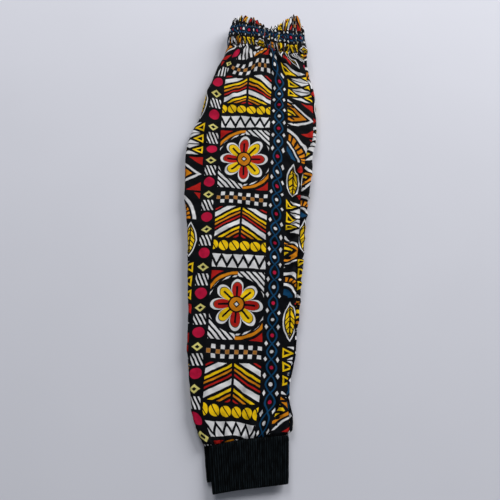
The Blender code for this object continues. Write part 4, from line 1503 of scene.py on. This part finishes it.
    def panel(self, rows: LegRows, path: Path, lift: Array, anchor: int,
              fullness: Array | float = 1.0, hidden: Array | float = 0.0) -> ClothGrid:
        """Lay a panel along a path, and work out where each point lies on its flat cut.

        Args:
            rows: the sections.
            path: the path round them.
            lift: how far each point stands off it.
            anchor: the column that lies straight along the cut's grain.
            fullness: how much more cloth lies across each place than its own length.
            hidden: cloth hidden along the panel, up to each point.

        Returns:
            The panel.
        """
        skin = self.lay(rows, path, lift)
        full = fullness + 0.0 * lift
        steps = np.linalg.norm(np.diff(skin.points, axis=1), axis=2) * (full[:, 1:] + full[:, :-1]) / 2.0
        across = np.insert(np.cumsum(steps, axis=1), 0, 0.0, axis=1)
        straight = slice(anchor, anchor + 1)
        across = across - across[:, straight] + skin.points[:, straight, 0]
        cut = np.stack([across, skin.points[:, :, 1] + hidden], axis=-1)
        return ClothGrid(skin, cut)

    def upper_front(self) -> ClothGrid:
        """Lay the front panel of the upper leg.

        Returns:
            The panel.
        """
        rows = LegRows(leg_stations(0, self.pitch, self.fine))
        radius = rows.left_radius()
        seam = rows.outseam() - SEAM_GAP / 2.0
        start = rows.left_x + radius
        path = Path()
        path.arc(start, rows.height - radius, radius, (180.0, 90.0), self.fold_steps)
        path.run(start, seam - self.seam_margin, rows.height, 1.0, even(self.top_steps))
        path.run(seam - self.seam_margin, seam, rows.height, 1.0, even(self.seam_steps))
        x, z = path.arrays()[:2]
        along = x - rows.outseam()
        return self.panel(rows, path, self.relief(rows, x, z, along),
                          anchor=self.fold_steps + self.top_steps // 2,
                          fullness=self.fullness(rows, rows.across(x)),
                          hidden=self.swallowed(rows, along) + self.strayed(rows, x))

    def upper_back(self) -> ClothGrid:
        """Lay the back panel of the upper leg, from the outseam in under itself.

        Returns:
            The panel.
        """
        rows = LegRows(leg_stations(0, self.pitch, self.fine))
        seam = rows.outseam() + SEAM_GAP / 2.0
        turn = rows.right_x - rows.quarter
        radius = rows.quarter - LAYER_GAP / 2.0
        small = rows.tip_radius(rows.quarter)
        end = rows.hidden_end(small)
        path = Path()
        path.run(seam, turn, rows.height, 1.0, even(self.strip_steps))
        path.arc(turn, rows.height - radius, radius, (90.0, -90.0), self.roll_steps)
        path.run(turn, end, rows.half + LAYER_GAP, -1.0, even(self.hidden_steps))
        path.arc(end, rows.half + LAYER_GAP + small, small, (270.0, 180.0), self.tip_steps)
        x, z = path.arrays()[:2]
        along = run_length(self.lay(rows, path, 0.0 * x).points, 1)
        shown = 1.0 - smooth_step(*self.strip_end, along)
        return self.panel(rows, path, self.relief(rows, x, z, along) * shown,
                          anchor=self.strip_steps // 2, hidden=self.swallowed(rows, along))

    def under_rows(self) -> LegRows:
        """Return the sections that the under leg is built on."""
        return LegRows(leg_stations(UNDER_LEG_START, self.hidden_pitch, self.fine))

    def under_lift(self, rows: LegRows, path: Path) -> Array:
        """Return how uneven the under leg's rounded edges are.

        Args:
            rows: the sections.
            path: the path round them.

        Returns:
            The lift at each place.
        """
        x, z = path.arrays()[:2]
        middle = (smooth_step(*self.under_edge, x - rows.left_x)
                  * smooth_step(*self.under_edge, rows.right_x - x))
        rough = unevenness(self.under_crumple, x, rows.y_on(x), z)
        return (rough - self.under_sink) * (1.0 - middle)

    def under_back(self) -> ClothGrid:
        """Lay the back panel of the under leg, which faces up beneath the upper leg.

        Returns:
            The panel.
        """
        rows = self.under_rows()
        height = rows.half - LAYER_GAP
        radius = height / 2.0
        seam = rows.under_right() - rows.strip + SEAM_GAP / 2.0
        lobe = rows.under_right() - radius
        small = rows.tip_radius(radius)
        end = rows.hidden_end(small)
        path = Path()
        path.run(seam, lobe, 0.0 * height, -1.0, even(self.strip_steps // 2))
        path.arc(lobe, radius, radius, (-90.0, 90.0), self.roll_steps)
        path.run(lobe, end, height, 1.0, even(self.hidden_steps))
        path.arc(end, height - small, small, (90.0, 180.0), self.tip_steps)
        return self.panel(rows, path, self.under_lift(rows, path), anchor=self.under_anchors[0])

    def under_front(self) -> ClothGrid:
        """Lay the front panel of the under leg, which lies on the floor.

        Returns:
            The panel.
        """
        rows = self.under_rows()
        seam = rows.under_right() - rows.strip - SEAM_GAP / 2.0
        radius = rows.left_radius() - LAYER_GAP * (1.0 - rows.crotch) / 2.0
        path = Path()
        path.arc(rows.left_x + radius, radius, radius, (180.0, 270.0), self.fold_steps)
        path.run(rows.left_x + radius, seam, 0.0 * radius, -1.0, even(self.floor_steps))
        return self.panel(rows, path, self.under_lift(rows, path), anchor=self.under_anchors[1])


# ---- waistband
class Stretch(NamedTuple):
    """One stretch of the casing's ring."""
    columns: int
    gathers: float


@dataclass
class WaistCasing:
    """The gathered elastic waistband: one ring of doubled cloth, folded in half with the legs."""
    ring: tuple[Stretch, ...] = (
        Stretch(14, 2.4),  # the upper half of the front fold
        Stretch(17 * WAIST_PUCKERS, WAIST_PUCKERS),  # the front that shows
        Stretch(22, 2.0),  # round the outer edge
        Stretch(92, 15.0),  # the back, facing down
        Stretch(4, 0.4),  # the seat seam's fold
        Stretch(92, 15.0),  # the other back, facing up
        Stretch(22, 2.0),  # round its outer edge
        Stretch(92, WAIST_PUCKERS),  # the other front, on the floor
        Stretch(20, 2.4))  # the lower half of the front fold
    rows: int = 26
    inner_rows: int = 10
    crest_rise: float = 6.2
    valley_rise: float = 2.4
    level: float = 0.52  # the share of a gather that lies below the ring's own form
    fold_calm: float = 1.2  # how many gathers fade out beside the front fold
    hidden: Pair = (1.6, 1.5)  # gathers past the front, and before the fold
    swell: float = 0.25  # half of how much the gathers shrink at half height
    relief: float = 0.8  # share of the creases' own height
    roughness: tuple[Rough, ...] = (Rough(0.25, 6.0),)
    inner_share: float = -0.35  # how much of the relief the inside follows, turned over
    scallop: float = 2.4  # how far a crest stands above the top edge's valleys
    scallop_level: float = 0.55
    scallop_sizes: Pair = (0.35, 1.3)  # the least, and how much more for a large one
    drop: float = 2.4  # how much lower the hidden layers' top edges lie
    rounding: float = 1.3  # how far the casing dips beside its seam and its top
    round_share: float = 0.1
    seat: float = 14.0  # how far the seat seam's fold lies inside the front fold
    fullness: float = 4.4  # cloth taken in by the valleys

    def path(self, fraction: Array) -> Path:
        """Trace the ring, from the front fold over the top and back underneath.

        Args:
            fraction: share of the casing's height, a column.

        Returns:
            The path.
        """
        left = self.bend(BAND_LEFT, fraction)
        right = self.bend(BAND_RIGHT, fraction)
        height = WAIST_HEIGHT - BAND_DROP * (2.0 * fraction - 1.0) ** 2
        half = height / 2.0
        roll = (half - LAYER_GAP) / 2.0
        turn = right - height / 4.0
        fold = left + self.seat
        lobe = right - UNDER_RECESS - roll
        steps = [stretch.columns for stretch in self.ring]
        path = Path()
        path.arc(left + half, half, half, (180.0, 90.0), steps[0])
        path.run(left + half, turn, height, 1.0, even(steps[1]))
        path.arc(turn, height - roll, roll, (90.0, -90.0), steps[2])
        path.run(turn, fold, half + LAYER_GAP, -1.0, even(steps[3]))
        path.arc(fold, half, LAYER_GAP + 0.0 * half, (90.0, 270.0), steps[4], outward=-1.0)
        path.run(fold, lobe, half - LAYER_GAP, 1.0, even(steps[5]))
        path.arc(lobe, roll, roll, (90.0, -90.0), steps[6])
        path.run(lobe, left + half, 0.0 * half, -1.0, even(steps[7]))
        path.arc(left + half, half, half, (270.0, 180.0), steps[8])
        return path

    def gather_numbers(self) -> Array:
        """Return how many gathers lie before each column, counted from where the front starts.

        Returns:
            A row of numbers.
        """
        columns = np.cumsum([0] + [stretch.columns for stretch in self.ring])
        gathers = np.cumsum([0.0] + [stretch.gathers for stretch in self.ring])
        return np.interp(np.arange(columns[-1] + 1), columns, gathers - self.ring[0].gathers)[None, :]

    @staticmethod
    def bend(three: tuple[float, float, float], t: Array) -> Array:
        """Return the value at t on the curve through values at 0, 0.5 and 1."""
        low, middle, high = three
        return low * (1 - t) * (1 - 2 * t) + 4 * middle * t * (1 - t) + high * t * (2 * t - 1)

    @staticmethod
    def height_at(x: Array, fraction: Array) -> Array:
        """Return y on the casing, between the waist seam and its top edge.

        Args:
            x: places across.
            fraction: share of the casing's height.

        Returns:
            y at each place.
        """
        seam = LegRows(np.array([LEG_SECTIONS[-1].station])).y_on(x) + SEAM_GAP
        edge = Curve([p[0] for p in WAIST_EDGE], [p[1] for p in WAIST_EDGE])(x)
        return mix(seam, edge, fraction)

    def surface(self, fractions: Array, depth: float) -> tuple[Skin, Array, Array]:
        """Work out the casing's cloth at a run of heights.

        Args:
            fractions: shares of the casing's height.
            depth: how far the cloth lies inside the casing's face.

        Returns:
            The cloth, and each point's crest and gather size.
        """
        fraction = fractions[:, None]
        x, z, out_x, out_z = self.path(fraction).arrays()
        count = self.gather_numbers()
        start, end = count[0, 0], count[0, -1]
        crest, size = pucker_shape(count, fraction + 0.0 * x)
        ends = smooth_step(0.0, self.fold_calm, np.minimum(count - start, end - count))
        hidden = (count > WAIST_PUCKERS + self.hidden[0]) & (count < end - self.hidden[1])
        swell = 1.0 - self.swell * (1.0 - np.cos(2.0 * math.pi * fraction))
        rise = mix(self.valley_rise, self.crest_rise, size) * swell * ends
        rise = rise * (crest - np.where(hidden, 1.0, self.level))
        near = np.minimum(fraction, 1.0 - fraction)
        dip = self.rounding * (1.0 - smooth_step(0.0, self.round_share, near))
        y = self.height_at(x, fraction)
        folds = fold_relief(CASING_FOLDS, x, y) * smooth_step(0.85, 1.0, z / WAIST_HEIGHT)
        rough = unevenness(self.roughness, x, y, z) * ~hidden
        lift = rise + folds * self.relief + rough
        lift = lift - dip if depth == 0.0 else lift * self.inner_share - depth
        least, more = self.scallop_sizes
        ragged = self.scallop * (crest - self.scallop_level) * (least + more * size) * ends
        y = y + fraction**3 * (ragged - self.drop * (1.0 - z / WAIST_HEIGHT))
        points = np.stack([x + out_x * lift, y, np.maximum(z + out_z * lift, 0.0)], axis=-1)
        return Skin(points, np.stack([out_x, 0.0 * x, out_z], axis=-1)), crest, size

    def grid(self) -> ClothGrid:
        """Lay the doubled cloth: up the outside, over the top edge and down the inside.

        Returns:
            The cloth.
        """
        outer, crest, size = self.surface(np.linspace(0.0, 1.0, self.rows + 1), 0.0)
        inner = self.surface(np.linspace(1.0, 0.0, self.inner_rows + 1), CASING_WALL)[0]
        ring = double_over(outer, inner, CASING_WALL / 2.0)
        middle = self.rows // 2
        extra = 1.0 + self.fullness * valley_cloth(crest, size)[middle, :-1]
        steps = np.linalg.norm(np.diff(ring.points[middle], axis=0), axis=1)
        return ring_cloth(ring, np.insert(np.cumsum(steps * extra), 0, 0.0))


@dataclass
class CasingStitches:
    """The row of stitches that closes the casing just above the waist seam."""
    name: str = "casing_stitches"
    pitch: float = 3.1
    length: float = 2.5
    width: float = 0.55
    height: float = 0.44
    share: float = 0.07  # how far up the casing the row runs
    proud: float = 0.12  # how far the stitches' middles stand off the cloth
    reach: Pair = (0.1, 0.9)  # where a stitch starts and ends in its pitch

    def points(self, casing: WaistCasing) -> Array:
        """Return the casing's points along the row, where it shows.

        Args:
            casing: the waistband.

        Returns:
            A run of points in millimetres.
        """
        skin = casing.surface(np.array([self.share]), 0.0)[0]
        shown = sum(stretch.columns for stretch in casing.ring[:3])
        return (skin.points[0] + skin.facing[0] * self.proud)[:shown]

    def build(self, casing: WaistCasing) -> Piece:
        """Copy one stitch along the row and join the copies into one piece.

        Args:
            casing: the waistband.

        Returns:
            The row of stitches.
        """
        bpy.ops.object.select_all(action='DESELECT')
        bpy.ops.mesh.primitive_uv_sphere_add(segments=8, ring_count=6, radius=0.5)
        model = bpy.context.object
        shape = np.array([v.co for v in model.data.vertices]) * [self.width, self.length, self.height]
        faces = [list(p.vertices) for p in model.data.polygons]
        bpy.data.objects.remove(model, do_unlink=True)
        line = self.points(casing)
        reach = np.insert(np.cumsum(np.linalg.norm(np.diff(line, axis=0), axis=1)), 0, 0.0)
        places, joined = [], []
        for k in range(int(reach[-1] / self.pitch)):
            start, end = (self.along(line, reach, (k + share) * self.pitch) for share in self.reach)
            ahead = (end - start).normalized()
            side = ahead.cross(Vector((0.0, 1.0, 0.0))).normalized()
            joined += [[v + len(places) for v in face] for face in faces]
            places += [(start + end) / 2.0 + ahead * p[1] + side * p[2] + ahead.cross(side) * p[0]
                       for p in shape]
        return add_mesh(self.name, np.array(places), joined)

    @staticmethod
    def along(line: Array, reach: Array, where: float) -> Vector:
        """Return the point of a line at a distance along it."""
        return Vector([np.interp(where, reach, line[:, k]) for k in range(3)])


# ---- cuffs
@dataclass
class Cuff:
    """One doubled rib-knit cuff, flattened, and open at its hem."""
    name: str
    seam: int  # the leg section that it is sewn to
    shift: Pair
    base: float  # height of its underside
    columns_per_rib: int = 8
    hidden_per_rib: int = 3
    half_turn: int = 10  # columns round half of an edge, which takes one rib
    rows: int = 46
    inner_rows: int = 14
    mouth: float = 0.92  # how far in the inside is laid
    dip: float = 0.9  # how far it dips beside its seam
    dip_length: float = 0.06
    sway: tuple[float, float, float] = (0.10, 2.6, 0.31)  # how far ribs sway, along and across
    flanks: tuple[Pair, ...] = ((0.10, 0.30), (0.74, 0.94))  # a rib's two sides
    furrow: float = 0.14  # depth of the furrow between a rib's two columns of stitches
    furrow_place: float = 0.52
    furrow_width: float = 0.62
    sink: float = 0.1  # how far the valleys lie below the cuff's own form
    fades: Pair = (0.03, 0.05)  # how near the hem and the seam the ribs fade
    seam_share: float = 0.35  # how much of a rib is left at the seam
    roughness: tuple[Rough, ...] = (Rough(0.3, 15.0),)

    def place(self, x: Array, fraction: Array) -> tuple[Array, Array]:
        """Return where a place on the cuff lies.

        Args:
            x: distance from the cuff's left edge, measured at the hem.
            fraction: share of the way from the hem to the seam.

        Returns:
            x and y on the garment.
        """
        (left_x, left_y), (right_x, right_y) = HEM_CORNERS
        u = x / (right_x - left_x)
        hem_x = mix(left_x, right_x, u) + self.shift[0]
        hem_y = mix(left_y, right_y, u) + self.shift[1] + HEM_BOW * np.sin(math.pi * u) * (1.0 - u)
        top_x = mix(*CUFF_TOP, u) + self.shift[0]
        top_y = LegRows(np.array([LEG_SECTIONS[self.seam].station])).y_on(top_x) - SEAM_GAP
        return mix(hem_x, top_x, fraction), mix(hem_y, top_y, fraction)

    def steps(self) -> list[int]:
        """Return the columns of each stretch: half an edge, top, edge, underside and half an edge."""
        return [self.half_turn, CUFF_RIBS * self.columns_per_rib, 2 * self.half_turn,
                CUFF_RIBS * self.hidden_per_rib, self.half_turn]

    def rib_numbers(self) -> Array:
        """Return how many ribs lie before each column of the knit, counted from its left edge.

        Returns:
            A run of numbers.
        """
        marks = np.cumsum([0] + self.steps())
        numbers = np.cumsum([0.0, 1.0, CUFF_RIBS, 2.0, CUFF_RIBS, 1.0])
        return np.interp(np.arange(marks[-1] + 1), marks, numbers)

    def ribs(self, fraction: Array) -> Array:
        """Return the knit's relief.

        Args:
            fraction: share of the way from the hem to the seam.

        Returns:
            The lift of each column at each of those heights.
        """
        amount, along, across = self.sway
        number = self.rib_numbers()[None, :]
        spot = (number + amount * np.sin(along * fraction + across * number)) % 1.0
        (rise_start, rise_end), (fall_start, fall_end) = self.flanks
        ridge = smooth_step(rise_start, rise_end, spot) * (1.0 - smooth_step(fall_start, fall_end, spot))
        pair = self.furrow * np.cos(4.0 * math.pi * (spot - self.furrow_place) / self.furrow_width)
        seam = smooth_step(0.0, self.fades[1], 1.0 - fraction)
        faded = smooth_step(0.0, self.fades[0], fraction) * mix(self.seam_share, 1.0, seam)
        return (RIB_HEIGHT * ridge * (1.0 + pair) - self.sink) * faded

    def surface(self, fractions: Array, depth: float) -> Skin:
        """Work out the knit at a run of heights.

        Args:
            fractions: shares of the way from the hem to the seam.
            depth: how far the knit lies inside the cuff's face.

        Returns:
            The points and the way they face.
        """
        width = HEM_CORNERS[1][0] - HEM_CORNERS[0][0]
        fraction = fractions[:, None]
        radius = CUFF_TUBE / 2.0 + 0.0 * fraction
        middle = self.base + radius
        steps = self.steps()
        path = Path()
        path.arc(radius, middle, radius, (180.0, 90.0), steps[0])
        path.run(radius, width - radius, middle + radius, 1.0, even(steps[1]))
        path.arc(width - radius, middle, radius, (90.0, -90.0), steps[2])
        path.run(width - radius, radius, middle - radius, -1.0, even(steps[3]))
        path.arc(radius, middle, radius, (270.0, 180.0), steps[4])
        x, z, out_x, out_z = path.arrays()
        lift = self.ribs(fraction) + unevenness(self.roughness, x, 60.0 * fraction + 0.0 * x, z)
        lift = lift - self.dip * (1.0 - smooth_step(0.0, self.dip_length, 1.0 - fraction))
        lift = lift * smooth_step(0.2, 0.6, (z - self.base) / CUFF_TUBE)
        lift = lift * (1.0 if depth == 0.0 else 0.0) - depth
        place_x, y = self.place(x + out_x * lift, fraction)
        points = np.stack([place_x, y, z + out_z * lift], axis=-1)
        return Skin(points, np.stack([out_x, 0.0 * x, out_z], axis=-1))

    def grid(self) -> ClothGrid:
        """Lay the doubled knit: down the outside, round the hem and up the inside.

        Returns:
            The knit.
        """
        outer = self.surface(np.linspace(1.0, 0.0, self.rows + 1), 0.0)
        inner = self.surface(np.linspace(0.0, self.mouth, self.inner_rows + 1), CUFF_WALL)
        return ring_cloth(double_over(outer, inner, -CUFF_WALL / 2.0), self.rib_numbers() * RIB_CUT)


# ---- studio
class Lamp(NamedTuple):
    """One area light that faces the garment."""
    name: str
    place: tuple[float, float, float]
    size: float
    power: float  # in watts


@dataclass
class Studio:
    """A plain pale floor, soft light from the upper right, and the camera."""
    floor_size: float = 40.0
    floor_drop: float = 0.0002  # how far the floor lies below the garment
    room_colour: tuple[float, float, float] = (0.86, 0.92, 1.0)
    room_light: float = 0.16
    lamps: tuple[Lamp, ...] = (Lamp("window", (2.0, 2.3, 1.5), 2.2, 124.0),
                               Lamp("far_window", (-0.6, 1.9, 1.6), 1.4, 31.0))
    camera_place: tuple[float, float, float] = (0.0137, -0.2317, 0.6524)
    camera_tilt: float = 16.66  # degrees from straight down, towards the waist
    camera_turn: float = 2.5  # degrees anticlockwise
    lens: float = 35.45
    sensor: float = 36.0

    def floor(self) -> Piece:
        """Lay the floor.

        Returns:
            The floor.
        """
        bpy.ops.object.select_all(action='DESELECT')
        bpy.ops.mesh.primitive_plane_add(size=self.floor_size, location=(0.0, 0.0, -self.floor_drop))
        floor = bpy.context.object
        floor.name = "floor"
        floor.data.materials.append(PaleSheet().material())
        return floor

    def lights(self) -> None:
        """Hang large soft lights at the upper right and fill the room with pale light."""
        world = bpy.data.worlds.new("room")
        world.use_nodes = True
        room = world.node_tree.nodes["Background"]
        room.inputs["Color"].default_value = (*self.room_colour, 1.0)
        room.inputs["Strength"].default_value = self.room_light
        bpy.context.scene.world = world
        for lamp in self.lamps:
            data = bpy.data.lights.new(lamp.name, 'AREA')
            data.shape = 'DISK'
            data.size = lamp.size
            data.energy = lamp.power
            self.aim(bpy.data.objects.new(lamp.name, data), lamp.place, -Vector(lamp.place))

    @staticmethod
    def aim(piece: Piece, place: tuple[float, float, float], ahead: Vector) -> None:
        """Put a lamp or a camera in the room.

        Args:
            piece: the lamp or camera.
            place: where it stands.
            ahead: which way it faces.
        """
        piece.location = place
        piece.rotation_mode = 'QUATERNION'
        piece.rotation_quaternion = ahead.to_track_quat('-Z', 'Y')
        bpy.context.collection.objects.link(piece)

    def camera(self) -> None:
        """Set the camera at the photo's angle."""
        tilt = math.radians(self.camera_tilt)
        turn = math.radians(self.camera_turn)
        level = math.sin(tilt)
        ahead = Vector((-math.sin(turn) * level, math.cos(turn) * level, -math.cos(tilt)))
        data = bpy.data.cameras.new("camera")
        data.lens = self.lens
        data.sensor_width = self.sensor
        camera = bpy.data.objects.new("camera", data)
        self.aim(camera, self.camera_place, ahead)
        bpy.context.scene.camera = camera

    def grade(self) -> None:
        """Show colours as a plain camera would."""
        bpy.context.scene.view_settings.view_transform = 'Standard'
        bpy.context.scene.view_settings.look = 'None'


# ---- putting it together
class FlatCut(NamedTuple):
    """The size a cloth was cut to, in metres."""
    width: float
    length: float
    area: float


@dataclass(frozen=True)
class ClothPiece:
    """One cloth piece: what it stands for, and the cut it was made from."""
    name: str
    nodes: tuple[str, ...]
    slot: str
    cut: FlatCut
    rests_on: tuple[str, ...]
    held: str = "folded"
    thickness: float = COTTON

    def make(self, grid: ClothGrid, material: Material) -> Piece:
        """Build the piece, dress it, hang it on the garment's body and hide the parts that it stands
        for.

        Args:
            grid: the cloth's points.
            material: its finish.

        Returns:
            The piece.
        """
        piece = grid.build(self.name, self.thickness)
        piece.data.materials.append(material)
        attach(piece, BODY)
        if self.nodes:
            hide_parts(*self.nodes)
        log.info("%s: %d faces", self.name, len(piece.data.polygons))
        return piece


FRONT_CUT = FlatCut(0.205, 0.600, 0.092)
BACK_CUT = FlatCut(0.215, 0.600, 0.096)
CASING_CUT = FlatCut(0.680, 0.100, 0.068)
CUFF_CUT = FlatCut(CUFF_ROUND * MM, 0.118, 0.0226)


def make_legs(design: Tree) -> None:
    """Build the four leg panels.

    Args:
        design: the print's node group.
    """
    legs = LegPair()
    for name, node, cut, rests_on, lay, cotton in (
            ("upper_leg_front", "front_leg_panel", FRONT_CUT, ("upper_leg_back",), legs.upper_front,
             PrintedCotton("cotton_upper_front", (46.0, 30.0))),
            ("upper_leg_back", "back_leg_panel", BACK_CUT, ("under_leg_back",), legs.upper_back,
             PrintedCotton("cotton_upper_back", (29.0, 118.0))),
            ("under_leg_back", "folded_leg_layers", BACK_CUT, ("under_leg_front",), legs.under_back,
             PrintedCotton("cotton_under_back", (90.0, 60.0))),
            ("under_leg_front", "folded_leg_layers", FRONT_CUT, (), legs.under_front,
             PrintedCotton("cotton_under_front", (20.0, 5.0)))):
        piece = ClothPiece(name, (node,), "printed_cotton", cut, rests_on)
        piece.make(lay(), cotton.material(design))


def make_waistband(design: Tree) -> None:
    """Build the waistband and its stitches.

    Args:
        design: the print's node group.
    """
    casing = WaistCasing()
    stitches = CasingStitches().build(casing)
    stitches.data.materials.append(SewingThread().material())
    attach(stitches, BODY)
    log.info("%s: %d faces", stitches.name, len(stitches.data.polygons))
    piece = ClothPiece("waistband_casing", ("waistband", "folded_waistband_layers"), "printed_cotton",
                       CASING_CUT, ("under_leg_front",))
    cotton = PrintedCotton("cotton_casing", (112.0, 60.0), Layout.ACROSS)
    piece.make(casing.grid(), cotton.material(design))


def make_cuffs() -> None:
    """Build both cuffs."""
    knit = RibKnit().material()
    upper = Cuff("cuff_upper_knit", 0, (0.0, 0.0), CUFF_TUBE + SEAM_GAP)
    under = Cuff("cuff_under_knit", UNDER_LEG_START, UNDER_SHIFT, 0.0, columns_per_rib=6)
    for cuff, node, below in ((upper, "cuff_upper", ("cuff_under_knit",)), (under, "cuff_under", ())):
        piece = ClothPiece(cuff.name, (node,), "rib_knit", CUFF_CUT, below, thickness=KNIT)
        piece.make(cuff.grid(), knit)


def main() -> None:
    """Build the joggers piece by piece, then the studio round them."""
    logging.basicConfig(level=logging.INFO, format="%(name)s: %(message)s")
    design = PrintDesign().group()
    make_legs(design)
    make_waistband(design)
    make_cuffs()
    studio = Studio()
    studio.floor()
    studio.lights()
    studio.camera()
    studio.grade()


if __name__ == "__main__":
    main()
